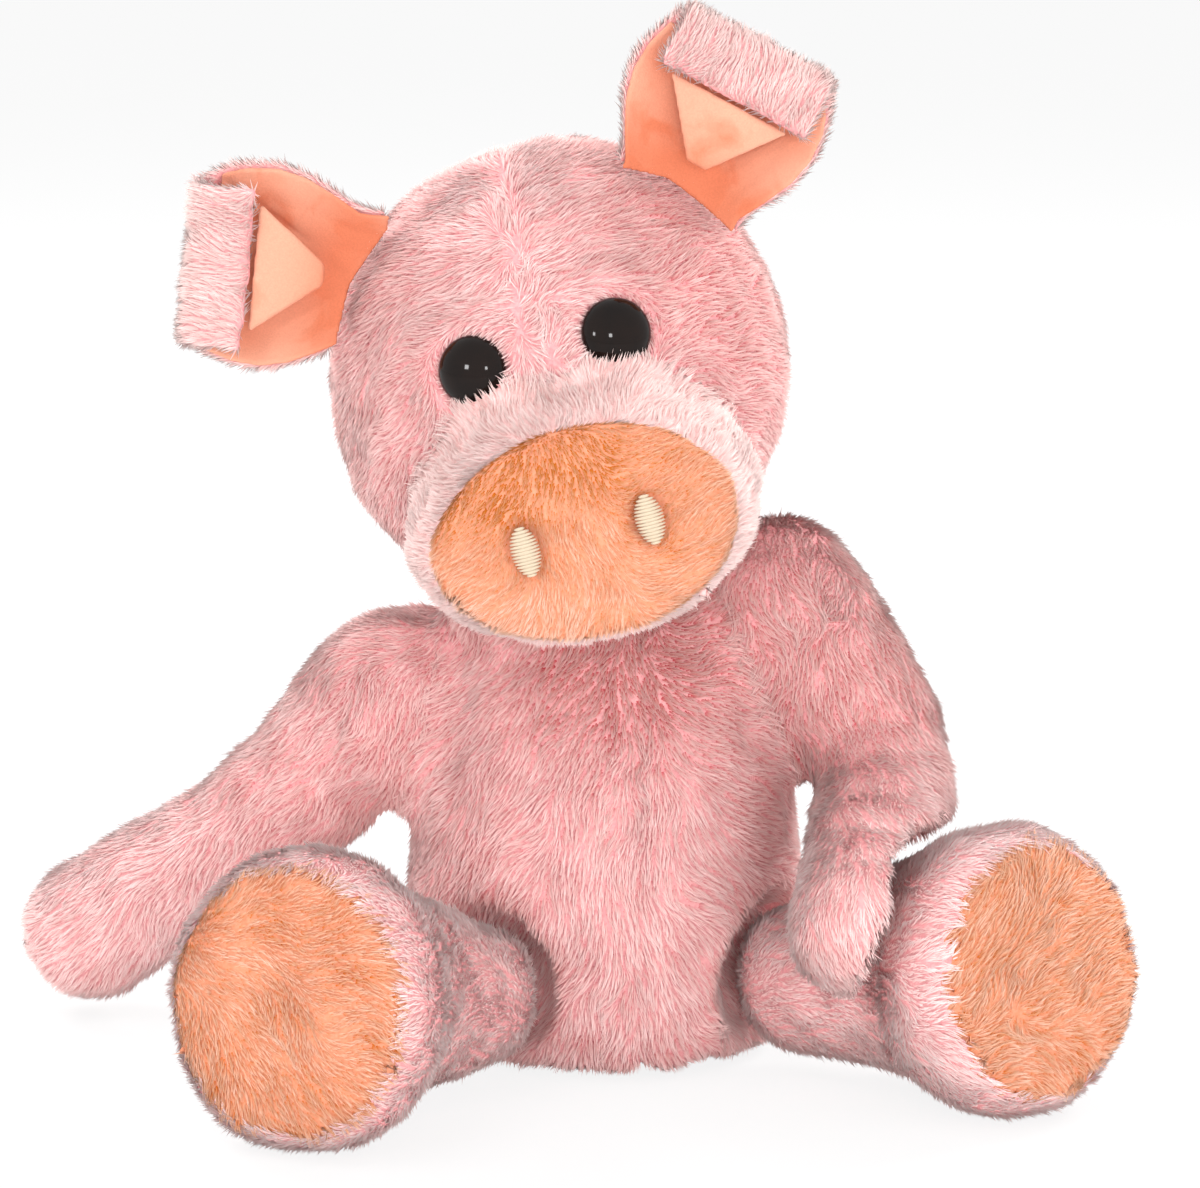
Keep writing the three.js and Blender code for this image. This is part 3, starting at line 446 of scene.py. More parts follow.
def edges_of(mesh):
    flat = np.empty(len(mesh.edges) * 2, np.int32)
    mesh.edges.foreach_get("vertices", flat)
    return flat.reshape(-1, 2)


def move_points(mesh, points):
    mesh.vertices.foreach_set("co", (points * MM).astype(np.float32).ravel())
    mesh.update()


def unit(vectors):
    return vectors / np.maximum(np.linalg.norm(vectors, axis=-1, keepdims=True), 1e-9)


def spread(values, edges, rounds):
    """Evens out values over a mesh, by averaging each point with its neighbours."""
    shape = (-1,) + (1,) * (values.ndim - 1)
    count = np.zeros(len(values))
    np.add.at(count, edges.ravel(), 1)
    for _ in range(rounds):
        total = np.zeros_like(values)
        np.add.at(total, edges[:, 0], values[edges[:, 1]])
        np.add.at(total, edges[:, 1], values[edges[:, 0]])
        values = (values + total / count.reshape(shape)) / 2
    return values


WAVES = 7  # how many waves a ripple is summed from


def ripple(points, size, seed):
    """Smooth random values between about -1 and 1, with features of a size in millimetres."""
    rng = np.random.default_rng(seed)
    ways = unit(rng.normal(size=(WAVES, 3))) * (2 * math.pi / size) * rng.uniform(0.6, 1.3, (WAVES, 1))
    phases = rng.uniform(0, 2 * math.pi, WAVES)
    return np.sin(points @ ways.T + phases).sum(1) / math.sqrt(WAVES * 2)


def ripple_vector(points, size, seed):
    return np.stack([ripple(points, size, seed + i) for i in range(3)], 1)


def ramp(value, low, high):
    """A smooth step from 0 at low to 1 at high."""
    share = np.clip((value - low) / (high - low), 0, 1)
    return share * share * (3 - 2 * share)


def crease(distance, width):
    """1 on a seam, falling away over a width in millimetres."""
    return np.exp(-((distance / width) ** 2))


def new_object(name, mesh):
    made = bpy.data.objects.new(name, mesh)
    bpy.context.scene.collection.objects.link(made)
    return made


def smooth_mesh(name, shape):
    """A smooth mesh of a shape, which it uses up."""
    mesh = bpy.data.meshes.new(name)
    shape.to_mesh(mesh)
    shape.free()
    mesh.shade_smooth()
    return mesh


def hard_part(name, mesh, material, node):
    """A rigid piece of the head that takes the place of a construction piece."""
    mesh.materials.append(material)
    made = new_object(name, mesh)
    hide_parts(node)
    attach(made, "head")


# Backings: the outer surface of a construction piece, evened out

MERGE = 1e-5  # points closer than this are one, in metres
FEELER = 0.02 * MM  # how far over a face a feeler starts


def merged(node):
    """A construction piece's mesh with its loose triangles joined."""
    shell = bmesh.new()
    shell.from_mesh(frame["nodes"][node].data)
    bmesh.ops.remove_doubles(shell, verts=shell.verts, dist=MERGE)
    return shell


def islands(shell):
    """The connected patches of a mesh's faces, the largest first."""
    left = set(shell.faces)
    found = []
    while left:
        patch, front = set(), [left.pop()]
        while front:
            face = front.pop()
            patch.add(face)
            for edge in face.edges:
                for near in edge.link_faces:
                    if near in left:
                        left.remove(near)
                        front.append(near)
        found.append(patch)
    return sorted(found, key=lambda patch: -sum(face.calc_area() for face in patch))


def drop_inside(shell):
    """Leaves only the outer faces of a hollow cover: a feeler from an inner face meets a wall."""
    tree = BVHTree.FromBMesh(shell)
    inner = [
        face for face in shell.faces
        if tree.ray_cast(face.calc_center_median() + face.normal * FEELER, face.normal)[0] is not None
    ]
    bmesh.ops.delete(shell, geom=inner, context="FACES")
    pinches = True
    while pinches:
        pinches = [vert for vert in shell.verts if sum(edge.is_boundary for edge in vert.link_edges) > 2]
        around = {face for vert in pinches for face in vert.link_faces}
        bmesh.ops.delete(shell, geom=list(around), context="FACES")
    for patch in islands(shell)[1:]:
        bmesh.ops.delete(shell, geom=list(patch), context="FACES")


def close_holes(shell, towards=None, sink=0.0):
    """Closes the openings, after their rims are drawn in towards a point, or under the surface."""
    rims = [edge for edge in shell.edges if edge.is_boundary]
    if sink and rims:
        shell.normal_update()
        under = {tuple(vert.co): -vert.normal for edge in rims for vert in edge.verts}
        made = bmesh.ops.extrude_edge_only(shell, edges=rims)["geom"]
        for vert in (g for g in made if isinstance(g, bmesh.types.BMVert)):
            way = under[tuple(vert.co)] if towards is None else Vector(towards) * MM - vert.co
            vert.co += way.normalized() * sink * MM
        rims = [edge for edge in shell.edges if edge.is_boundary]
    bmesh.ops.edgeloop_fill(shell, edges=rims)
    bmesh.ops.triangulate(shell, faces=shell.faces)
    bmesh.ops.recalc_face_normals(shell, faces=shell.faces)


def remeshed(name, shell, voxel):
    """A mesh of even faces over closed shells, made one where they overlap. It uses the shells up."""
    rough = bpy.data.meshes.new(name)
    shell.to_mesh(rough)
    shell.free()
    made = new_object(name, rough)
    remesh = made.modifiers.new("even faces", "REMESH")
    remesh.mode = "VOXEL"
    remesh.voxel_size = voxel * MM
    even = bpy.data.meshes.new_from_object(made.evaluated_get(bpy.context.evaluated_depsgraph_get()))
    bpy.data.objects.remove(made)
    bpy.data.meshes.remove(rough)
    even.name = name
    even.shade_smooth()
    return even


def backing(node, depth=None, hollow=True, towards=None, sink=0.0, hold=1.0):
    """A closed mesh of even faces that follows a construction piece at its backing's depth.

    depth gives that depth at the mesh's points, where it changes. hold says how far the evened out
    mesh goes back to the piece's surface: less of it leaves the piece's edges rounder.
    """
    piece = piece_of(node)
    shell = merged(node)
    if hollow:
        drop_inside(shell)
        close_holes(shell, towards, sink)
    guide = BVHTree.FromBMesh(shell)
    even = remeshed(node, shell, piece.face)
    edges = edges_of(even)
    points = spread(points_of(even), edges, piece.rounds)
    move_points(even, points)
    normals = normals_of(even)
    away = np.empty(len(points))
    for i, point in enumerate(points):
        near = np.array(guide.find_nearest(Vector(point) * MM)[0]) / MM
        away[i] = (point - near) @ normals[i]
    inset = depth(points) if depth else depth_mm() if piece.depth is None else piece.depth
    move_points(even, points - normals * (hold * spread(away, edges, 2 * piece.rounds) + inset)[:, None])
    return even


def tree_of(mesh):
    """Finds what lies near a mesh, in metres."""
    return BVHTree.FromPolygons(
        [vert.co for vert in mesh.vertices], [face.vertices for face in mesh.polygons])


def lumps(points, seed):
    """The unevenness of the stuffing under the cloth, in millimetres."""
    height = cloth().lump / MM
    return height * (0.7 * ripple(points, 26, seed) + 0.4 * ripple(points, 12, seed + 1))


FILL_COVER = 0.8  # least gap between a filling and the surface over it
FUSE_ROUNDS = 3  # how often the joined mesh is evened out
RIM_SINK = 5.0  # how far a skin's cut rims are drawn in under its surface
SEAM_CLOSE, SEAM_SOFTEN = 2.2, 4.5  # slits closed and edges softened where two cloths are sewn
BORDER_ROUNDS = 16  # how often the borders between neighbouring skins are evened out
SOFT_ROUNDS = 60  # how often the surface is evened out where two skins meet
Skin = namedtuple("Skin", "made points normals corners tree")


def cut_out(name, even, mine):
    """A skin of some of a mesh's faces, closed behind. It keeps those faces apart for its pile."""
    part = bmesh.new()
    part.from_mesh(even)
    part.faces.ensure_lookup_table()
    others = [part.faces[i] for i in np.flatnonzero(~mine)]
    bmesh.ops.delete(part, geom=others, context="FACES")
    if others:
        close_holes(part, sink=RIM_SINK)
    mesh = smooth_mesh(name, part)
    even.calc_loop_triangles()
    count = len(even.loop_triangles)
    corners, faces = np.empty(count * 3, np.int32), np.empty(count, np.int32)
    even.loop_triangles.foreach_get("vertices", corners)
    even.loop_triangles.foreach_get("polygon_index", faces)
    corners = corners.reshape(-1, 3)[mine[faces]]
    return Skin(new_object(name, mesh), points_of(even), normals_of(even), corners, tree_of(even))


def stay_over(points, node, gap):
    """Points moved out to a gap over a filling, in millimetres, where they would come closer."""
    shell = merged(node)
    tree = BVHTree.FromBMesh(shell)
    shell.free()
    low, high = corners_of(node)
    points = points.copy()
    for i in np.flatnonzero(((points > low - gap) & (points < high + gap)).all(1)):
        at, normal, _, _ = tree.find_nearest(Vector(points[i]) * MM)
        at, normal = np.array(at) / MM, np.array(normal)
        points[i] += normal * max(gap - (points[i] - at) @ normal, 0)
    return points


def fuse(parts, pressed, over, close=SEAM_CLOSE, soften=SEAM_SOFTEN, face=1.6, fills=(), leads=None):
    """Draws neighbouring backings into one surface and cuts it apart again where they meet.

    parts holds the backings by the names of their skins. pressed gives how far the surface goes
    in at its points, and over holds the fillings that it stays over. Slits up to twice close are
    closed, and soften is how widely the surface is evened out where two backings meet. fills are
    balls, as a centre and a radius. leads says how much further than its backing a skin reaches.
    """
    near = [tree_of(mesh) for mesh in parts.values()]
    whole = bmesh.new()
    for mesh in parts.values():
        move_points(mesh, points_of(mesh) + normals_of(mesh) * close)
        whole.from_mesh(mesh)
    for centre, radius in fills:
        bmesh.ops.create_icosphere(
            whole, subdivisions=4, radius=(radius + close) * MM,
            matrix=Matrix.Translation(Vector(centre) * MM))
    even = remeshed("joined", whole, face)
    edges = edges_of(even)
    move_points(even, spread(points_of(even), edges, FUSE_ROUNDS))
    points = points_of(even) - normals_of(even) * close
    gaps = np.array([[tree.find_nearest(Vector(point) * MM)[3] / MM for tree in near] for point in points])
    second = spread(np.sort(gaps, 1)[:, 1], edges, FUSE_ROUNDS)
    soft = spread(points, edges, SOFT_ROUNDS)
    points = points + (soft - points) * crease(second, soften)[:, None]
    move_points(even, points)
    points = points - normals_of(even) * pressed(points)[:, None]
    for node in over:
        points = stay_over(points, node, FILL_COVER)
    move_points(even, points)
    gaps = spread(gaps, edges, BORDER_ROUNDS) - [(leads or {}).get(name, 0.0) for name in parts]
    corners = np.empty(len(even.loops), np.int32)
    even.loops.foreach_get("vertex_index", corners)
    starts = np.empty(len(even.polygons), np.int32)
    even.polygons.foreach_get("loop_start", starts)
    owner = np.argmin(np.add.reduceat(gaps[corners], starts, axis=0), 1)
    return {name: cut_out(name, even, owner == i) for i, name in enumerate(parts)}


def alone(name, mesh, pressed=None):
    """A skin of one whole backing."""
    if pressed:
        move_points(mesh, points_of(mesh) - normals_of(mesh) * pressed(points_of(mesh))[:, None])
    return cut_out(name, mesh, np.ones(len(mesh.polygons), bool))


# Pile: tufts that stand on a skin, combed along it and drawn together in strands

SHELLS = {}  # outer surfaces of construction pieces, found once
REACH_IN = 1.0  # how deep a tuft may reach into a neighbouring piece before it is left out
SLIT = 1.2  # width of a slit in which no tuft has room, measured from SLIT_START over the skin
SLIT_START = 0.4
LIFT = 0.3  # how steeply the tufts stand, from 0 along the cloth to 1 straight up
SWIRL = 0.4  # how far the combing strays, as a share of its own way
GATHER = 0.75  # how far a tuft's tip is drawn to the line of its strand
STRAND_SHARE = 0.09  # share of the tufts that a strand grows round
STRAND_STRETCH = 3.0  # how much longer than wide a strand is
STRAND_CHOICES = 5  # how many strands near a tuft it chooses from
FLATTEN = 0.72  # how much a tuft is shaded as the cloth under it
ROOT_DEPTH = 0.2
FLOOR_GAP = 0.25  # least height of a tuft's tip over the floor


def inside(points, node):
    """Which points lie inside a construction piece's outer surface, by more than a tuft may."""
    if node not in SHELLS:
        shell = merged(node)
        drop_inside(shell)
        close_holes(shell)
        SHELLS[node] = BVHTree.FromBMesh(shell)
        shell.free()
    low, high = corners_of(node)
    found = np.zeros(len(points), bool)
    for i in np.flatnonzero(((points > low) & (points < high)).all(1)):
        at, normal, _, gap = SHELLS[node].find_nearest(Vector(points[i]) * MM)
        found[i] = (Vector(points[i]) * MM - at).dot(normal) < 0 and gap > REACH_IN * MM
    return found


def clear_of(*nodes, reach=2.5):
    """A test that leaves out the points whose tufts would reach into some construction pieces."""
    def kept(points, normals):
        ahead = points + normals * reach
        return ~np.any([inside(ahead, node) for node in nodes], axis=0)
    return kept


def pinched(skin, points, normals):
    """Which points lie in a slit of the skin, where no tuft has room."""
    return np.array([
        skin.tree.ray_cast(Vector(point + normal * SLIT_START) * MM, Vector(normal), SLIT * MM)[0] is not None
        for point, normal in zip(points, normals)
    ])


def tuft_shape():
    """One tuft, pointing along Z from its root's middle, as its points and its faces' corners."""
    shape = bmesh.new()
    bmesh.ops.create_cone(
        shape, segments=3, radius1=0.5, radius2=0, depth=1, cap_ends=True, cap_tris=False)
    bmesh.ops.translate(shape, verts=shape.verts, vec=(0, 0, 0.5))
    bmesh.ops.remove_doubles(shape, verts=shape.verts, dist=MERGE)
    points = np.array([vert.co for vert in shape.verts])
    corners = np.array([[vert.index for vert in face.verts] for face in shape.faces])
    shape.free()
    return points, corners


def scatter(skin, density, rng):
    """Random points on a skin with their normals, so many to a square millimetre."""
    a, b, c = (skin.points[skin.corners[:, i]] for i in range(3))
    areas = np.linalg.norm(np.cross(b - a, c - a), axis=1) / 2
    count = int(areas.sum() * density)
    steps = (np.arange(count) + rng.random(count)) / count * areas.sum()
    pick = np.minimum(np.searchsorted(np.cumsum(areas), steps), len(areas) - 1)
    u, v = rng.random(count), rng.random(count)
    over = u + v > 1
    u[over], v[over] = 1 - u[over], 1 - v[over]
    weights = np.stack([1 - u - v, u, v], 1)[:, :, None]
    spots = (skin.points[skin.corners[pick]] * weights).sum(1)
    return spots, unit((skin.normals[skin.corners[pick]] * weights).sum(1))


def along_and_aside(rel, way, normals):
    """Splits offsets into their part along a way and the part beside it on the cloth."""
    along = (rel * way).sum(1, keepdims=True)
    return along, rel - way * along - normals * (rel * normals).sum(1, keepdims=True)


def strands(points, normals, way, rng):
    """For each point, the strand that it stands in: its root and the offset beside its line."""
    heads = np.flatnonzero(rng.random(len(points)) < STRAND_SHARE)
    tree = KDTree(len(heads))
    for i, head in enumerate(heads):
        tree.insert(points[head], i)
    tree.balance()
    near = min(STRAND_CHOICES, len(heads))
    choices = heads[[[found[1] for found in tree.find_n(point, near)] for point in points]]
    best, least, beside = choices[:, 0], np.full(len(points), np.inf), np.zeros_like(points)
    for i in range(near):
        along, aside = along_and_aside(points - points[choices[:, i]], way, normals)
        far = (aside ** 2).sum(1) + (along[:, 0] / STRAND_STRETCH) ** 2
        closer = far < least
        best, least = np.where(closer, choices[:, i], best), np.where(closer, far, least)
        beside = np.where(closer[:, None], aside, beside)
    return best, beside


def repeated(name, places, corners):
    """A mesh of many copies of one shape, from the points of each and the corners of its faces."""
    count, size, _ = places.shape
    faces = corners[None] + (np.arange(count) * size)[:, None, None]
    mesh = bpy.data.meshes.new(name)
    mesh.vertices.add(count * size)
    mesh.vertices.foreach_set("co", (places * MM).astype(np.float32).ravel())
    mesh.loops.add(faces.size)
    mesh.loops.foreach_set("vertex_index", faces.astype(np.int32).ravel())
    mesh.polygons.add(faces.size // 3)
    mesh.polygons.foreach_set("loop_start", np.arange(0, faces.size, 3, dtype=np.int32))
    mesh.update(calc_edges=True)
    mesh.shade_smooth()
    return mesh


def stand(points, normals, comb, beside, edge, length, lift, seed, rng):
    """The way and the length of each tuft, which leans along the comb and towards its strand."""
    count = len(points)
    rise = lift * (1.15 - 0.45 * edge + 0.3 * ripple(points, 9, seed + 6) + 0.14 * rng.normal(size=count))
    rise = np.clip(rise, 0.1, 0.95)[:, None]
    way = unit(comb * (1 - rise) + normals * rise + rng.normal(size=(count, 3)) * 0.05)
    reach = length * (0.92 + 0.1 * ripple(points, 6, seed + 9) + 0.12 * rng.normal(size=count))
    way = way * np.clip(reach, 0.4 * length, 1.2 * length)[:, None] - beside * GATHER
    way[:, 2] = np.maximum(way[:, 2], FLOOR_GAP - points[:, 2])
    return unit(way), np.linalg.norm(way, axis=1)


def grow(name, skin, flow, plush, body, length=1.0, density=1.0, width=1.0, lift=LIFT,
         keep=None, nap=None):
    """Covers a skin with tufts of a plush.

    flow gives the way that the pile is combed at each point, and keep which points carry a tuft,
    from their places and normals. The painted shading gives where the pile is darkened as painted
    shade, from 0 to 1, and paled as painted light below 0.
    length, density and width are shares of the cloth's own.
    """
    size = cloth()
    length, width = length * size.pile / MM, width * size.tuft / MM
    seed = size.seed + sum(map(ord, name))
    rng = np.random.default_rng(seed)
    points, normals = scatter(skin, density * size.density * (1), rng)
    kept = ~pinched(skin, points, normals)
    if keep is not None:
        kept &= keep(points, normals)
    points, normals = points[kept], normals[kept]
    count = len(points)
    swirl = ripple_vector(points, 19, seed) + 0.6 * ripple_vector(points, 6, seed + 3)
    comb = unit(flow(points)) + SWIRL * swirl
    comb = unit(comb - normals * (comb * normals).sum(1, keepdims=True))
    root, beside = strands(points, normals, comb, rng)
    edge = np.clip(np.linalg.norm(beside, axis=1) / (size.strand / MM), 0, 1)
    lift = lift(points) if callable(lift) else lift
    way, reach = stand(points, normals, comb, beside, edge, length, lift, seed, rng)

    shape, corners = tuft_shape()
    across = unit(np.cross(way, normals) + 1e-6)
    up = np.cross(way, across)
    wide = width * (0.8 + 0.4 * rng.random(count))
    round_way = across[:, None] * shape[None, :, 0, None] + up[:, None] * shape[None, :, 1, None]
    places = (
        (points - normals * ROOT_DEPTH)[:, None] + round_way * wide[:, None, None]
        + way[:, None] * (shape[None, :, 2] * reach[:, None])[..., None]
    )
    mesh = repeated(name, places, corners)
    own = 2 * round_way + (beside * 0.6)[:, None] + way[:, None] * 0.3
    shading = unit(normals[:, None] * FLATTEN + own * (1 - FLATTEN))
    mesh.normals_split_custom_set_from_vertices(shading.reshape(-1, 3).astype(np.float32))

    random = rng.normal(size=count)
    # Tone: random per strand and per tuft, painted shade along the strands' edges, and the piece's painted
    # light and shade taken off below.
    tone = 0.6 - 0.24 * edge + 0.1 * random[root] + 0.08 * random + 0.14 * ripple(points, 8, seed + 12)
    if nap is not None:
        tone = tone - nap(points)
    write_attribute(mesh, "tip", np.tile(shape[:, 2], count))
    write_attribute(mesh, "tone", np.repeat(np.clip(tone, *TONES), len(shape)))
    write_cells(mesh, count, shape, corners)
    mesh.materials.append(pile_of(plush))
    made = new_object(name, mesh)
    carry(made, body)


def carry(piece, body):
    """Hangs a piece on a body; given two bodies and the span of a bend, it only fixes the piece's place in
    the world.
    """
    if isinstance(body, str):
        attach(piece, body)
    else:
        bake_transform(piece)


def write_attribute(mesh, name, values):
    attribute = mesh.attributes.new(name, "FLOAT", "POINT")
    attribute.data.foreach_set("value", values.astype(np.float32))


def write_cells(mesh, count, shape, corners):
    """A UV map in which each tuft has a small square of its own, with a strip for each face."""
    across = math.ceil(math.sqrt(count))
    strips = len(corners)
    index = np.arange(count)
    low = np.stack([index % across, index // across], 1)[:, None, None, :].astype(float)
    inner = np.empty((strips, 3, 2))
    for face in range(strips):
        left, right = (face + 0.15) / strips, (face + 0.85) / strips
        height = np.clip(shape[corners[face], 2], 0, 1) * 0.7 + 0.15
        inner[face, :, 0] = np.linspace(left, right, 3)
        inner[face, :, 1] = height if np.ptp(height) > 0 else (0.15, 0.3, 0.15)
    cells = (low + inner[None]) / across
    layer = mesh.uv_layers.new(name="OFBake")
    layer.data.foreach_set("uv", cells.astype(np.float32).ravel())


def finish_skin(skin, node, body):
    """Gives a skin its cloth and its body, and hides the construction piece that it stands for."""
    made, piece = skin.made, piece_of(node)
    made.data.materials.clear()
    made.data.materials.append(velvet() if piece.slot == VELVET else backing_of(piece.slot))
    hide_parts(node)
    carry(made, body)


# The head's own frame: sideways, back and up from its centre

def in_head(points):
    rel = points - HEAD
    return rel @ HEAD_SIDE, rel[:, 1], rel @ HEAD_UP


def from_head(side, back, up):
    return np.outer(side, HEAD_SIDE) + np.outer(back, (0, 1, 0)) + np.outer(up, HEAD_UP)


SNOUT = middle("snout_disc")
SNOUT_IN_HEAD = np.array([(SNOUT - HEAD) @ HEAD_SIDE, SNOUT[1] - HEAD[1], (SNOUT - HEAD) @ HEAD_UP])
EYES = [middle("eye_right"), middle("eye_left")]
NOSTRILS = [middle("nostril_right"), middle("nostril_left")]
CHIN = np.array((10.0, -38.0, 84.0))


def dimples(points, width):
    """1 at the nostrils, falling away over a width in millimetres."""
    total = np.zeros(len(points))
    for nostril in NOSTRILS:
        rel = points - nostril
        total += crease(np.hypot(rel @ HEAD_SIDE, rel @ HEAD_UP / 1.5), width)
    return total


EYE_RIM = 6.0  # an eye's radius
HEAD_LAP, MUZZLE_LAP = 0.9, 0.5  # how far each pile laps over an eye's rim
EYE_FRINGE = 2.6  # width of the fringe of pile that is combed over an eye's rim
EYE_FRINGE_LIFT = 0.2  # how much more steeply that fringe stands


def from_eyes(points):
    """How far each point is from the line of the nearest eye, and the way towards that line."""
    least, inwards = np.full(len(points), np.inf), np.zeros_like(points)
    for eye in EYES:
        axis = unit(eye - HEAD)
        rel = (points - HEAD) - np.outer((points - HEAD) @ axis, axis)
        off = np.where((points - HEAD) @ axis > 0, np.linalg.norm(rel, axis=1), np.inf)
        inwards = np.where((off < least)[:, None], -unit(rel), inwards)
        least = np.minimum(off, least)
    return least, inwards


def over_eyes(points, way):
    """A combing direction that turns towards the eyes beside them, most of all from below."""
    off, inwards = from_eyes(points)
    below = 0.8 + 0.2 * np.clip(inwards @ HEAD_UP, 0, 1)
    return unit(way) + inwards * (4 * below * crease(np.maximum(off - EYE_RIM, 0), EYE_FRINGE))[:, None]


def eye_lift(points):
    """The pile's lift, higher beside the eyes."""
    return LIFT + EYE_FRINGE_LIFT * crease(np.maximum(from_eyes(points)[0] - EYE_RIM, 0), EYE_FRINGE)


# Groups of skins that are made together

# Pairs of lengths are where a form starts to fade in or out and where it has done so
BACK_SEAM_PLACE = (25.0, 32.0)
BACK_SEAM_FOOT = (30.0, 36.0)
BACK_SEAM_TOP = (70.0, 76.0)
BACK_SEAM_WIDTH = 5.0
BACK_SEAM_FILL = 0.85  # share of the backing's depth that it gives up at the closing seam
BELLY_SEAM_SIDE = 8.0
BELLY_SEAM_WIDTH = 2.0
BELLY_SEAM_DEPTH = 1.3
BELLY_FRONT = (5.0, 20.0)
BELLY_TOP = (88.0, 100.0)
BELLY_SIDES = (25.0, 34.0)
BODY_CLOSE, BODY_SOFTEN = 1.6, 8.0  # slits closed and edges softened where an arm meets the torso
# The gathers that close the torso round the neck's seam, as a ring of pads
COLLAR_PADS = 14
COLLAR_REACH = 17.0
COLLAR_DROP = -2.0
COLLAR_RADIUS = 6.0
# How far a shoulder's padding lies from its joint, as shares of the padding's radius
SHOULDER_SHIFTS = {RIGHT: (0.22, 0, -0.02), LEFT: (-0.22, 0, 0.03)}
# Where the cloth is drawn in at a bent elbow: a spot, the way across the fold and its width
CROOKS = [((-56.0, -10.0, 62.0), (-1.0, 0.0, 0.35), 2.4)]
CROOK_DEPTH = 1.4
CROOK_LENGTH = 22.0


@cache
def body_skins():
    """The torso's and the arms' skins, with a pad in each shoulder that the arm grows out of."""
    def depth(points):
        x, y, z = points.T
        seam = crease(x, BACK_SEAM_WIDTH) * ramp(y, *BACK_SEAM_PLACE) * ramp(z, *BACK_SEAM_FOOT)
        return depth_mm() * (1 - BACK_SEAM_FILL * seam * (1 - ramp(z, *BACK_SEAM_TOP)))

    def pressed(points):
        x, y, z = points.T
        front = ramp(-y, *BELLY_FRONT) * (1 - ramp(z, *BELLY_TOP))
        belly = 1 - ramp(abs(x), *BELLY_SIDES)
        wander = 2 * ripple(points, 60, 3)
        seam = BELLY_SEAM_DEPTH * crease(x - BELLY_SEAM_SIDE - wander, BELLY_SEAM_WIDTH) * front * belly
        crook = 0.0
        for spot, way, width in CROOKS:
            across = crease((points - spot) @ unit(np.array(way)), width)
            crook += CROOK_DEPTH * across * crease(np.linalg.norm(points - spot, axis=1), CROOK_LENGTH)
        return seam + crook - lumps(points, 11)

    parts = {
        "torso_plush": backing("torso_cover", depth),
        "arm_plush_right": backing("arm_cover_right"),
        "arm_plush_left": backing("arm_cover_left"),
    }
    pad = cloth().shoulder / MM
    fills = [
        (place(f"shoulder_{side}") + pad * np.array(shift), pad) for side, shift in SHOULDER_SHIFTS.items()
    ]
    neck, reach = middle("neck_seam"), COLLAR_REACH
    for turn in np.linspace(0, 2 * math.pi, COLLAR_PADS, endpoint=False):
        shift = np.array((reach * math.cos(turn), reach * math.sin(turn), COLLAR_DROP))
        fills.append((neck + shift, COLLAR_RADIUS))
    over = ("torso_stuffing", "arm_stuffing_right", "arm_stuffing_left")
    return fuse(parts, pressed, over, close=BODY_CLOSE, soften=BODY_SOFTEN, fills=fills)


# The way that each arm bends out of the torso, and where that bend starts and ends along it
ARM_BENDS = {RIGHT: (-1.0, 0.0, 0.0), LEFT: (0.85, -0.2, -0.5)}
ARM_BEND_SPAN = (6.0, 28.0)


def arm_bend(side):
    """How an arm's cloth would bend, as two bodies and two points: with the torso at the shoulder, with the
    arm further out.
    """
    root = place(f"shoulder_{side}")
    way = np.array(ARM_BENDS[side])
    start, end = ARM_BEND_SPAN
    return ("torso", f"arm_{side}", tuple((root + way * start) * MM), tuple((root + way * end) * MM))


FOREHEAD_SEAM_WIDTH = 2.0
FOREHEAD_SEAM_DEPTH = 0.8
FOREHEAD_SEAM_FOOT = (10.0, 18.0)
FACE_FRONT = (0.0, 20.0)
JAW_SIDE, JAW_UP, JAW_WIDTH, JAW_RISE = -40.0, -20.0, 17.0, 2.2  # the full jaw on the pig's right
DIMPLE_WIDTH, DIMPLE_DEPTH = 4.2, 2.8
# The raised cloth round an eye: how far from its rim it is highest, how high it is there, how much
# higher under the eye, and its widths towards the eye and away from it
SOCKET_REACH, SOCKET_RISE, SOCKET_BELOW = 1.6, 3.2, 1.6
SOCKET_WIDTHS = (2.2, 5.5)
HEAD_FACE = 1.4  # size of the head's faces
HEAD_RIM_SINK, MUZZLE_RIM_SINK = 4.0, 8.0  # how far the rims of their openings are drawn inwards
MUZZLE_LEAD = 2.2  # how much further the band's plush reaches than its own piece


@cache
def head_skins():
    """The skins of the head, the muzzle's band and the snout."""
    def pressed(points):
        side, back, up = in_head(points)
        line = crease(side - 1.2 * np.sin(up / 9), FOREHEAD_SEAM_WIDTH)
        seam = line * ramp(up, *FOREHEAD_SEAM_FOOT) * ramp(-back, *FACE_FRONT)
        jaw = crease(np.hypot(side - JAW_SIDE, up - JAW_UP), JAW_WIDTH) * ramp(-back, -20, 10)
        on_snout = ramp(-(points[:, 1] - SNOUT[1]), -3, 2)
        off, inwards = from_eyes(points)
        beyond = off - EYE_RIM - SOCKET_REACH
        near, far = [crease(beyond, width) for width in SOCKET_WIDTHS]
        ring = np.where(beyond < 0, near, far)
        socket = (SOCKET_RISE + SOCKET_BELOW * np.clip(inwards @ HEAD_UP, 0, 1)) * ring
        raised = lumps(points, 21) * 0.7 + JAW_RISE * jaw + socket
        drawn_in = FOREHEAD_SEAM_DEPTH * seam + DIMPLE_DEPTH * dimples(points, DIMPLE_WIDTH) * on_snout
        return drawn_in - raised

    parts = {
        "head_plush": backing("head_cover", towards=HEAD, sink=HEAD_RIM_SINK),
        "muzzle_plush": backing("muzzle_cover", towards=HEAD, sink=MUZZLE_RIM_SINK),
        "snout_plush": backing("snout_disc", hollow=False),
    }
    over = ("head_stuffing", "muzzle_stuffing")
    return fuse(parts, pressed, over, face=HEAD_FACE, leads={"muzzle_plush": MUZZLE_LEAD})


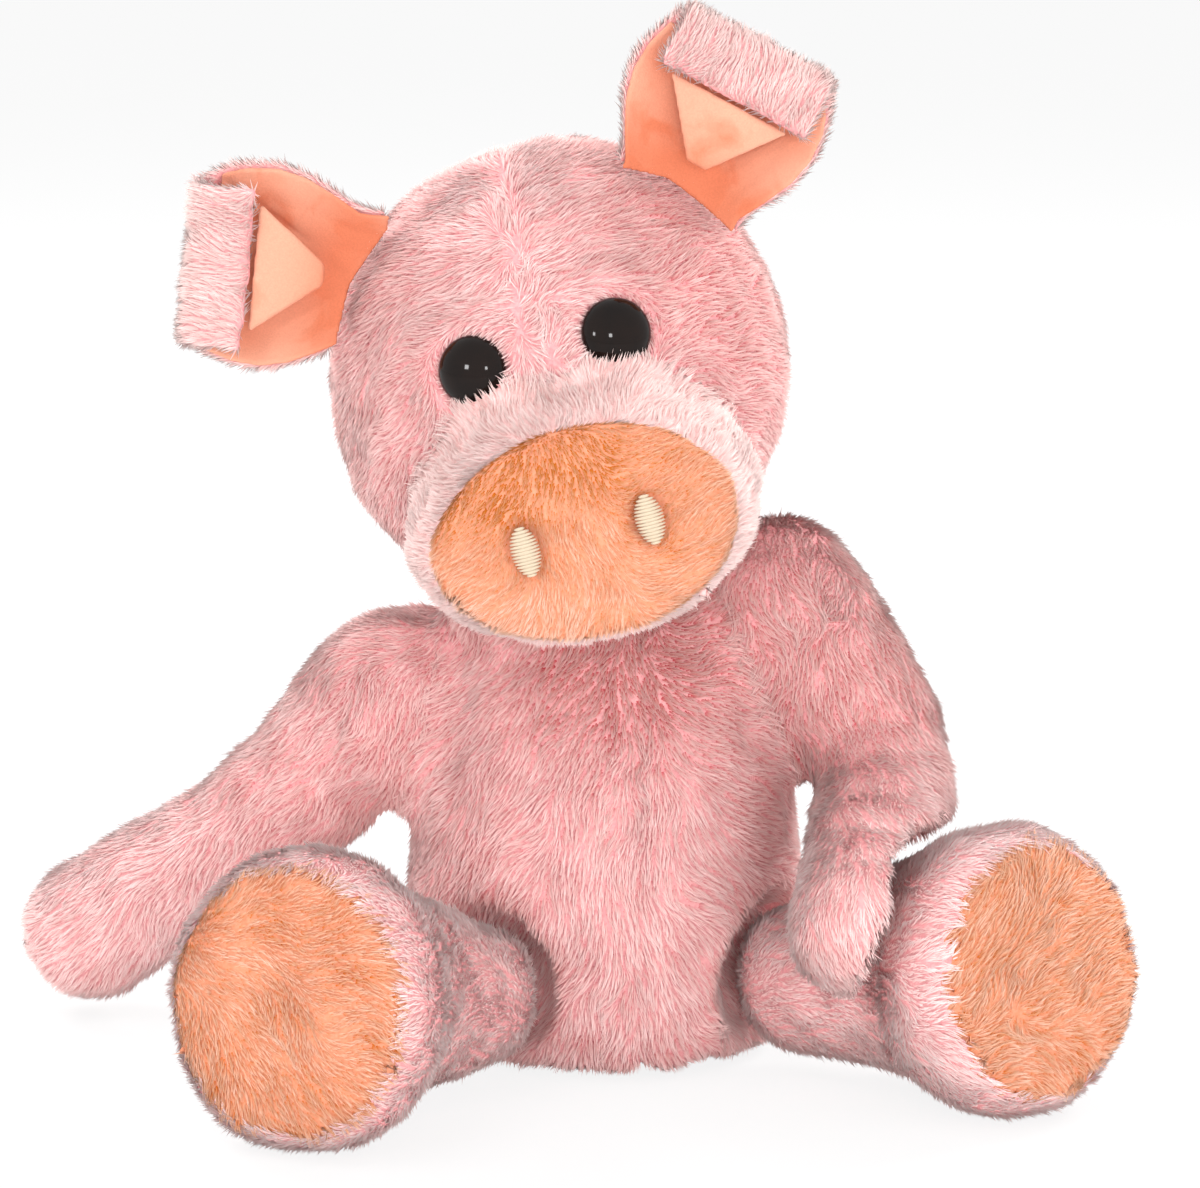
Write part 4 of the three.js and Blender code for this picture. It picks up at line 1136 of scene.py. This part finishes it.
SOLE_DRAW, SOLE_DRAW_WIDTH = 1.4, 8.0  # how far a sole's middle is drawn in, and how widely
SOLE_FOLD = 1.6
SOLE_FRONT = (-2.0, 3.0)
FLOOR_SPAN = (2.0, 8.0)  # heights between which a leg's lumps and folds flatten towards the floor


@cache
def leg_skins(side):
    """The skins of a leg and its sole."""
    sole, hip = middle(f"sole_{side}"), place(f"hip_{side}")
    out = unit((sole - hip) * np.array((1, 1, 0)))

    def pressed(points):
        rel = points - sole
        off = np.linalg.norm(rel - np.outer(rel @ out, out), axis=1)
        folds = np.clip(ripple(points, 16, 75 + ord(side[0])), 0.5, 2) - 0.5
        drawn_in = SOLE_DRAW * crease(off, SOLE_DRAW_WIDTH) + SOLE_FOLD * folds
        relief = ramp(rel @ out, *SOLE_FRONT) * drawn_in - lumps(points, 61 + ord(side[0]))
        return relief * ramp(points[:, 2], *FLOOR_SPAN)

    parts = {
        f"leg_plush_{side}": backing(f"leg_cover_{side}"),
        f"sole_plush_{side}": backing(f"sole_{side}", hollow=False),
    }
    return fuse(parts, pressed, (f"leg_stuffing_{side}",))


# Operators: one for each piece or group of like pieces

BARE_SEAM_HALF = 3.0
BARE_SEAM_BACK = 20.0
BREAST = (5.0, 82.0)  # the side and height of the deep shade under the chin
BREAST_WIDTH = 22.0


class PIG_OT_torso(bpy.types.Operator):
    """Torso cover: a pear of pink plush with a soft seam down its front"""
    bl_idname = "pig.torso"
    bl_label = "Torso"

    def execute(self, context):
        skin = body_skins()["torso_plush"]
        finish_skin(skin, "torso_cover", "torso")

        def flow(points):
            x, _, z = points.T
            sideways = 0.9 * ramp(x, 4, 20) - 0.35 * ramp(-x, 10, 34)
            down = -1.0 + 0.8 * ramp(x, 4, 24) * ramp(z, 20, 45)
            return unit(points - CHIN) * 0.8 + np.stack([sideways, np.zeros(len(x)), down], 1)

        free = clear_of("leg_cover_right", "leg_cover_left", "head_cover")

        def keep(half):
            def kept(points, normals):
                x, y, z = points.T
                seam = (abs(x) < BARE_SEAM_HALF) & (y > BARE_SEAM_BACK)
                seam &= (z > BACK_SEAM_FOOT[1]) & (z < BACK_SEAM_TOP[0])
                return free(points, normals) & ~seam & (x * half > 0)
            return kept

        # Painted shade under the chin, and painted light over the lower torso.
        def nap(points):
            x, y, z = points.T
            chin_shade = crease(np.hypot(x - BREAST[0], (z - BREAST[1]) * 1.5), BREAST_WIDTH)
            return 1.2 * chin_shade * ramp(-y, 5, 18) - 0.15 * (1 - ramp(z, 40, 70))

        for side, half in ((RIGHT, -1), (LEFT, 1)):
            grow(f"torso_pile_{side}", skin, flow, PINK, "torso", keep=keep(half), nap=nap)
        return {"FINISHED"}


class PIG_OT_head(bpy.types.Operator):
    """Head cover: a ball of pink plush with a seam over its forehead"""
    bl_idname = "pig.head"
    bl_label = "Head"

    def execute(self, context):
        skin = head_skins()["head_plush"]
        finish_skin(skin, "head_cover", "head")

        def flow(points):
            side, back, up = in_head(points)
            outward = (1.6 * ramp(side, -1, 5) - 0.5 * ramp(-side, -1, 8)) * (0.3 + 0.7 * ramp(up, 6, 18))
            front = ramp(-back, -5, 15)
            down = -0.35 - 0.8 * ramp(-side, -2, 6) - 0.9 * (1 - front) - 0.6 * ramp(-up, 0, 30)
            way = from_head(outward * front, 0.4 * np.ones(len(side)), down) + unit(points - SNOUT) * 0.5
            return over_eyes(points, way)

        free = clear_of("torso_cover")

        def keep(half):
            def kept(points, normals):
                mine = in_head(points)[0] * half > 0
                return free(points, normals) & mine & (from_eyes(points)[0] > EYE_RIM - HEAD_LAP)
            return kept

        # Painted light and shade: deeper on the pig's left side, less so low down there, paler between the
        # eyes, and a painted highlight at the crown.
        def nap(points):
            side, back, up = in_head(points)
            front = ramp(-back, 5, 20)
            between = crease(np.hypot(side - 2, (up - 4) * 0.8), 15)
            crown = crease(np.hypot(side + 4, (up - 40) * 0.8), 20)
            right = 0.15 + 0.25 * ramp(side, 8, 30) - 0.15 * ramp(-up, 0, 20) * ramp(side, 15, 30)
            return right - 0.45 * between * front - 0.3 * crown

        for side, half in ((RIGHT, -1), (LEFT, 1)):
            grow(f"head_pile_{side}", skin, flow, PINK, "head", lift=eye_lift, keep=keep(half), nap=nap)
        return {"FINISHED"}


class PIG_OT_muzzle(bpy.types.Operator):
    """Muzzle cover: the pale band round the snout"""
    bl_idname = "pig.muzzle"
    bl_label = "Muzzle"

    def execute(self, context):
        skin = head_skins()["muzzle_plush"]
        finish_skin(skin, "muzzle_cover", "head")

        def flow(points):
            return over_eyes(points, unit(points - SNOUT) + np.array((0, 0.3, 0.1)))

        free = clear_of("torso_cover", reach=2.0)

        def keep(points, normals):
            return free(points, normals) & (from_eyes(points)[0] > EYE_RIM - MUZZLE_LAP)

        grow("muzzle_pile", skin, flow, PALE, "head", lift=eye_lift, keep=keep)
        return {"FINISHED"}


SNOUT_COMB = 16.0  # how far from its middle the snout's pile is combed sideways as much as down
NOSTRIL_GAP = (2.3, 4.4)  # half the width and height of the oval without pile round a nostril


class PIG_OT_snout(bpy.types.Operator):
    """Snout disc: crowned peach plush with a dimple at each nostril"""
    bl_idname = "pig.snout"
    bl_label = "Snout disc"

    def execute(self, context):
        skin = head_skins()["snout_plush"]
        finish_skin(skin, "snout_disc", "head")

        def flow(points):
            side, _, _ = in_head(points)
            side = side - SNOUT_IN_HEAD[0]
            return from_head(side / SNOUT_COMB, 0 * side, -1.0 + 1.4 * ramp(side, -4, 20))

        def keep(points, normals):
            free = np.ones(len(points), bool)
            for nostril in NOSTRILS:
                rel = points - nostril
                free &= np.hypot(rel @ HEAD_SIDE / NOSTRIL_GAP[0], rel @ HEAD_UP / NOSTRIL_GAP[1]) > 1
            return free

        # Painted shade on the snout's top and in the nostrils' dimples, and painted light low on the pig's
        # right.
        def nap(points):
            side, _, up = in_head(points)
            side, up = side - SNOUT_IN_HEAD[0], up - SNOUT_IN_HEAD[2]
            top = 0.75 * ramp(up, 1, 12) * (1 - 0.7 * ramp(side, 4, 16))
            return top + 0.45 * dimples(points, 5.5) - 0.3 * ramp(-up, 2, 12) * ramp(-side, 0, 12)

        grow("snout_pile", skin, flow, PEACH, "head", length=0.7, density=1.5, width=0.8, lift=0.26,
             keep=keep, nap=nap)
        return {"FINISHED"}


STITCH_WIDTH = 0.62
STITCH_SINK = 1.7  # how far the stitches draw themselves into the snout, in millimetres
STITCH_ARCH = 0.6  # how much of the nostril's crown a stitch rises at its middle
STITCH_SHARES = (0.6, 0.56)  # half a stitch's depth and height, as shares of its width


def add_stitch(stitches, centre, half, up):
    """One stitch across a nostril's oval, at a height from -1 at its foot to 1 at its top."""
    wide = half[0] * math.sqrt(max(1 - up * up, 0.06))
    crown = half[1] * math.sqrt(max(1 - up * up, 0.0))
    thick, tall = [STITCH_WIDTH * share for share in STITCH_SHARES]
    for vert in bmesh.ops.create_uvsphere(stitches, u_segments=10, v_segments=8, radius=1)["verts"]:
        x, y, z = vert.co
        back = y * thick - crown * (1 - x * x) * STITCH_ARCH + STITCH_SINK
        spot = centre + HEAD_SIDE * x * wide + HEAD_UP * (z * tall + up * half[2])
        vert.co = Vector((spot + np.array((0, back, 0))) * MM)


class PIG_OT_nostrils(bpy.types.Operator):
    """Nostrils: satin stitches worked side by side over an oval"""
    bl_idname = "pig.nostrils"
    bl_label = "Nostrils"

    def execute(self, context):
        thread = shared(rayon_material, "rayon_embroidery_thread", colours().thread)
        for side in (RIGHT, LEFT):
            node, name = f"nostril_{side}", f"nostril_stitches_{side}"
            low, high = corners_of(node)
            centre, half = (low + high) / 2, (high - low) / 2
            stitches = bmesh.new()
            rows = int(2 * half[2] / STITCH_WIDTH)
            for row in range(rows):
                add_stitch(stitches, centre, half, (row + 0.5) / rows * 2 - 1)
            hard_part(name, smooth_mesh(name, stitches), thread, node)
        return {"FINISHED"}


EYE_EDGE = 0.5  # height of the rounded edge under an eye's dome
EYE_UNDERCUT = 0.9  # where that edge starts, as a share of the eye's radius
EYE_ARC_STEPS = 9
EYE_TURN_STEPS = 40


def eye_outline(node, axis):
    """Half an eye's outline as radii and heights, from the foot of its shank to its crown."""
    points = points_of(frame["nodes"][node].data)
    reach = (points - HEAD) @ axis
    off = np.linalg.norm(np.cross(points - HEAD, axis), axis=1)
    foot, top, radius = reach.min(), reach.max(), off.max()
    rim = reach[off > radius * 0.98].min()
    neck = off[reach < foot + 0.1].max()
    outline = [(0, foot), (neck, foot), (neck, rim), (radius * EYE_UNDERCUT, rim), (radius, rim + EYE_EDGE)]
    for i in range(1, EYE_ARC_STEPS + 1):
        turn = math.pi / 2 * i / EYE_ARC_STEPS
        rise = (top - rim - EYE_EDGE) * math.sin(turn)
        outline.append((radius * math.cos(turn), rim + EYE_EDGE + rise))
    return outline


class PIG_OT_eyes(bpy.types.Operator):
    """Eyes: glossy plastic domes on their shanks"""
    bl_idname = "pig.eyes"
    bl_label = "Eyes"

    def execute(self, context):
        plastic = eye_material()
        for side in (RIGHT, LEFT):
            node, name = f"eye_{side}", f"eye_dome_{side}"
            axis = unit(middle(node) - HEAD)
            dome = bmesh.new()
            verts = [dome.verts.new((r * MM, 0, h * MM)) for r, h in eye_outline(node, axis)]
            line = [dome.edges.new(pair) for pair in zip(verts, verts[1:])]
            bmesh.ops.spin(
                dome, geom=verts + line, cent=(0, 0, 0), axis=(0, 0, 1), angle=2 * math.pi,
                steps=EYE_TURN_STEPS, use_merge=True)
            bmesh.ops.remove_doubles(dome, verts=dome.verts, dist=MERGE)
            bmesh.ops.recalc_face_normals(dome, faces=dome.faces)
            turn = Vector(axis).to_track_quat("Z", "Y").to_matrix()
            bmesh.ops.rotate(dome, verts=dome.verts, cent=(0, 0, 0), matrix=turn)
            bmesh.ops.translate(dome, verts=dome.verts, vec=Vector(HEAD) * MM)
            hard_part(name, smooth_mesh(name, dome), plastic, node)
        return {"FINISHED"}


EAR_FOLDS = (-0.55, -0.18, 0.3)  # slopes of the lining's folds, which fan out from the root
EAR_FOLD_WIDTH = 0.05
EAR_FOLD_DEPTH = 0.5
EAR_COVER_REACH = 6.0  # how near the lining lies over the plush where no tuft has room


class PIG_OT_ears(bpy.types.Operator):
    """Ears: pink plush folded over at the tip, lined with smooth peach velvet"""
    bl_idname = "pig.ears"
    bl_label = "Ears"

    def execute(self, context):
        for side in (RIGHT, LEFT):
            body = f"ear_{side}"
            root = place(f"ear_{side}_flop")
            along = unit((middle(f"ear_outer_{side}") - root) * np.array((1, 0, 1)))
            across = np.cross(along, (0, 1, 0))
            flap = tree_of(frame["nodes"][f"ear_tip_{side}"].data)

            def folds(points):
                rel = points - root
                fan = (rel @ across) / np.maximum(rel @ along, 6)
                lines = sum(crease(fan - at, EAR_FOLD_WIDTH) for at in EAR_FOLDS)
                return EAR_FOLD_DEPTH * lines * ramp(rel @ along, 8, 14) * (rel[:, 1] < 0)

            outer = alone(f"ear_plush_{side}", backing(f"ear_outer_{side}", hollow=False, hold=0.5))
            finish_skin(outer, f"ear_outer_{side}", body)
            lining = alone(f"ear_velvet_{side}", backing(f"ear_lining_{side}", hollow=False), folds)
            tip = alone(f"ear_tip_velvet_{side}", backing(f"ear_tip_{side}", hollow=False, hold=0.7))
            for skin, node in ((lining, "ear_lining"), (tip, "ear_tip")):
                finish_skin(skin, f"{node}_{side}", body)
                # Painted shade: the lining deeper under the tip's flap as its painted shadow, and both
                # velvets deeper near the root.
                points = points_of(skin.made.data)
                under = np.array([flap.find_nearest(Vector(point) * MM)[3] / MM for point in points])
                root_shade = crease((points - root) @ along, 9)
                deep = np.clip(crease(under, 5) * (node == "ear_lining") + 0.9 * root_shade, 0, 1)
                write_attribute(skin.made.data, "deep", deep)
            covers = [tree_of(skin.made.data) for skin in (lining, tip)]

            def flow(points, along=along, root=root):
                return np.tile(along, (len(points), 1)) + 0.3 * unit(points - root)

            def keep(points, normals, covers=covers):
                kept = np.ones(len(points), bool)
                for i, (point, normal) in enumerate(zip(points, normals)):
                    ray = Vector(point) * MM, Vector(normal), EAR_COVER_REACH * MM
                    kept[i] = all(cover.ray_cast(*ray)[0] is None for cover in covers)
                return kept

            grow(f"ear_pile_{side}", outer, flow, PALE, body, length=0.85, density=1.3,
                 width=0.85, lift=0.4, keep=keep)
        return {"FINISHED"}


class PIG_OT_arms(bpy.types.Operator):
    """Arms: pink plush, one stretched out to the floor and one resting on a thigh"""
    bl_idname = "pig.arms"
    bl_label = "Arms"

    def execute(self, context):
        for side in (RIGHT, LEFT):
            node = f"arm_cover_{side}"
            shoulder = place(f"shoulder_{side}")
            skin = body_skins()[f"arm_plush_{side}"]
            finish_skin(skin, node, arm_bend(side))
            hand = unit(middle(node) - shoulder)

            def flow(points, shoulder=shoulder, hand=hand):
                return unit(points - shoulder) + hand + np.array((0, 0, -0.4))

            # Painted shade near the shoulder, and painted light towards the hand.
            def nap(points, shoulder=shoulder, shade={RIGHT: 0.1, LEFT: 0.4}[side]):
                return shade - (shade + 0.3) * ramp(np.linalg.norm(points - shoulder, axis=1), 25, 60)

            grow(f"arm_pile_{side}", skin, flow, PINK, arm_bend(side), keep=clear_of("head_cover"), nap=nap)
        return {"FINISHED"}


class PIG_OT_legs(bpy.types.Operator):
    """Legs: pink plush that widens into the foot"""
    bl_idname = "pig.legs"
    bl_label = "Legs"

    def execute(self, context):
        for side in (RIGHT, LEFT):
            hip, sole = place(f"hip_{side}"), middle(f"sole_{side}")
            skin = leg_skins(side)[f"leg_plush_{side}"]
            finish_skin(skin, f"leg_cover_{side}", f"leg_{side}")

            def flow(points, hip=hip, way=unit(sole - hip)):
                return unit(points - hip) * 0.6 + way

            # Painted light over the whole leg, more of it towards the foot.
            def nap(points, hip=hip, reach=np.linalg.norm(sole - hip)):
                return -0.45 - 0.15 * ramp(np.linalg.norm(points - hip, axis=1), 0.4 * reach, reach)

            grow(f"leg_pile_{side}", skin, flow, PINK, f"leg_{side}", keep=clear_of("torso_cover"), nap=nap)
        return {"FINISHED"}


SOLE_COMB = 36.0  # how far from its middle a sole's pile turns outward, in millimetres


class PIG_OT_soles(bpy.types.Operator):
    """Soles: peach plush, lumpy and drawn in at the middle"""
    bl_idname = "pig.soles"
    bl_label = "Soles"

    def execute(self, context):
        for side in (RIGHT, LEFT):
            sole = middle(f"sole_{side}")
            skin = leg_skins(side)[f"sole_plush_{side}"]
            finish_skin(skin, f"sole_{side}", f"leg_{side}")

            def flow(points, sole=sole):
                rel = points - sole
                return rel / SOLE_COMB + np.array((0.8, -0.2, 0.35 * np.sign(sole[0])))

            grow(f"sole_pile_{side}", skin, flow, PEACH, f"leg_{side}", length=0.85)
        return {"FINISHED"}


class PIG_OT_tail(bpy.types.Operator):
    """Tail: a small stub of pink plush"""
    bl_idname = "pig.tail"
    bl_label = "Tail"

    def execute(self, context):
        root = place("tail_wag")
        skin = alone("tail_plush", backing("tail", hollow=False))
        finish_skin(skin, "tail", "tail")

        grow("tail_pile", skin, lambda points: unit(points - root) + (0, 1, 0), PINK, "tail",
             length=0.7, keep=clear_of("torso_cover", reach=2.0))
        return {"FINISHED"}


# An arm's filling has faces as small as its cover's, and some slack inside it
FILLING_VOXEL = 1.6
FILLING_SLACK = 0.8


class PIG_OT_inside(bpy.types.Operator):
    """Filling, pellet bag, washers, neck seam and closing thread"""
    bl_idname = "pig.inside"
    bl_label = "Inside and thread"

    def execute(self, context):
        finishes = {
            "stuffing": fibre_material(),
            "pellet_bag": calico_material(),
            "washer": nylon_material(),
            "neck_seam": backing_of(PINK),
            "closing_thread": shared(rayon_material, "polyester_sewing_thread", colours().pink),
        }
        for name, node in frame["nodes"].items():
            for word, material in finishes.items():
                if word in name:
                    node.data.materials.clear()
                    node.data.materials.append(material)
        for side in (RIGHT, LEFT):
            mesh = remeshed(f"arm_filling_{side}", merged(f"arm_stuffing_{side}"), FILLING_VOXEL)
            move_points(mesh, points_of(mesh) - normals_of(mesh) * FILLING_SLACK)
            mesh.materials.append(finishes["stuffing"])
            made = new_object(f"arm_filling_{side}", mesh)
            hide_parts(f"arm_stuffing_{side}")
            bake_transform(made)
        return {"FINISHED"}


CAMERA_PLACE = (-0.001, -1.0833, 0.301)
CAMERA_PITCH = 10.89
CAMERA_LENS = 165

FLOOR_HALF = 4
AIM = Vector((0, 0, 0.1))  # the point that every softbox faces
FLOOR_GLOW = 0.86  # how far the camera sees the floor as pure white instead of lit paper
ROOM_LIGHT, ROOM_SEEN = 0.66, 1.0  # the room's strength as light, and as the camera sees it

# Softboxes: where each stands, its side, its power, and whether shiny things show it
SOFTBOXES = {
    "key": ((-0.5, -0.5, 1.35), 0.9, 7.0, False),
    "fill": ((0.75, -1.1, 0.3), 0.9, 5.0, False),
    "low": ((0.2, -1.2, 0.08), 0.6, 5.0, False),
    "rim_right": ((-0.75, 0.75, 0.75), 0.5, 12.0, False),
    "rim_left": ((0.8, 0.7, 0.7), 0.5, 12.0, False),
    "flash": ((0.12, -1.15, 0.42), 0.13, 1.6, True),
    "flash_right": ((-0.7, -0.9, 0.4), 0.15, 2.0, True),
}


def seen_directly(tree):
    """1 where the camera sees a thing, also through or in another thing, and 0 for light on others."""
    ray = add_node(tree, "ShaderNodeLightPath")
    shown = ray.outputs["Is Camera Ray"]
    for kind in ("Is Glossy Ray", "Is Transmission Ray"):
        either = add_node(tree, "ShaderNodeMath", {0: shown, 1: ray.outputs[kind]}, operation="MAXIMUM")
        shown = either.outputs[0]
    return shown


class PIG_OT_stage(bpy.types.Operator):
    """Floor, softboxes, white surroundings and the camera"""
    bl_idname = "pig.stage"
    bl_label = "Stage"

    def execute(self, context):
        scene = context.scene
        scene.view_settings.view_transform = "Standard"
        ground = bmesh.new()
        bmesh.ops.create_grid(ground, x_segments=1, y_segments=1, size=FLOOR_HALF)
        mesh = bpy.data.meshes.new("floor")
        ground.to_mesh(mesh)
        ground.free()
        floor = new_object("floor", mesh)
        material, tree, _ = start_material("white_paper")
        matt = add_node(tree, "ShaderNodeBsdfDiffuse", {"Color": (0.9, 0.9, 0.9, 1)})
        glow = add_node(tree, "ShaderNodeEmission", {"Color": (1, 1, 1, 1), "Strength": 1.0})
        seen = add_node(tree, "ShaderNodeMath", {
            0: seen_directly(tree), 1: FLOOR_GLOW}, operation="MULTIPLY")
        surface = add_node(tree, "ShaderNodeMixShader", {
            0: seen.outputs[0], 1: matt.outputs[0], 2: glow.outputs[0]})
        end_material(tree, surface)
        mesh.materials.append(material)

        world = bpy.data.worlds.new("white_room")
        scene.world = world
        world.use_nodes = True
        tree = world.node_tree
        tree.nodes.clear()
        level = add_node(tree, "ShaderNodeMapRange", {
            "Value": seen_directly(tree), "To Min": ROOM_LIGHT, "To Max": ROOM_SEEN})
        sky = add_node(tree, "ShaderNodeBackground", {"Color": (1, 1, 1, 1), "Strength": level.outputs[0]})
        add_node(tree, "ShaderNodeOutputWorld", {"Surface": sky.outputs[0]})

        for name, (spot, side, power, shows) in SOFTBOXES.items():
            lamp = bpy.data.lights.new(name, "AREA")
            lamp.size = side
            lamp.energy = power
            made = new_object(name, lamp)
            made.visible_glossy = shows
            made.location = spot
            made.rotation_euler = (AIM - Vector(spot)).to_track_quat("-Z", "Y").to_euler()

        camera = bpy.data.cameras.new("camera")
        camera.lens = CAMERA_LENS
        camera.sensor_width = 36
        camera.clip_start = 0.05
        made = new_object("camera", camera)
        made.location = CAMERA_PLACE
        made.rotation_euler = (math.radians(90 - CAMERA_PITCH), 0, 0)
        scene.camera = made
        return {"FINISHED"}


OPERATORS = (
    PIG_OT_torso, PIG_OT_head, PIG_OT_muzzle, PIG_OT_snout, PIG_OT_nostrils, PIG_OT_eyes, PIG_OT_ears,
    PIG_OT_arms, PIG_OT_legs, PIG_OT_soles, PIG_OT_tail, PIG_OT_inside, PIG_OT_stage,
)


class PIG_PT_panel(bpy.types.Panel):
    """Lists the sizes, the colours and the pieces"""
    bl_label = "Plush Pig"
    bl_idname = "PIG_PT_panel"
    bl_space_type = "VIEW_3D"
    bl_region_type = "UI"
    bl_category = "Plush Pig"

    def draw(self, context):
        for group in (context.scene.pig_cloth, context.scene.pig_colours):
            box = self.layout.box()
            for name in group.__annotations__:
                box.prop(group, name)
        for operator in OPERATORS:
            self.layout.operator(operator.bl_idname)


CLASSES = (PigCloth, PigColours, *OPERATORS, PIG_PT_panel)


def register():
    for made in CLASSES:
        bpy.utils.register_class(made)
    bpy.types.Scene.pig_cloth = PointerProperty(type=PigCloth)
    bpy.types.Scene.pig_colours = PointerProperty(type=PigColours)


def unregister():
    del bpy.types.Scene.pig_colours
    del bpy.types.Scene.pig_cloth
    for made in reversed(CLASSES):
        bpy.utils.unregister_class(made)


def main():
    register()
    bpy.ops.pig.torso()
    bpy.ops.pig.head()
    bpy.ops.pig.muzzle()
    bpy.ops.pig.snout()
    bpy.ops.pig.nostrils()
    bpy.ops.pig.eyes()
    bpy.ops.pig.ears()
    bpy.ops.pig.arms()
    bpy.ops.pig.legs()
    bpy.ops.pig.soles()
    bpy.ops.pig.tail()
    bpy.ops.pig.inside()
    bpy.ops.pig.stage()


if __name__ == "__main__":
    main()
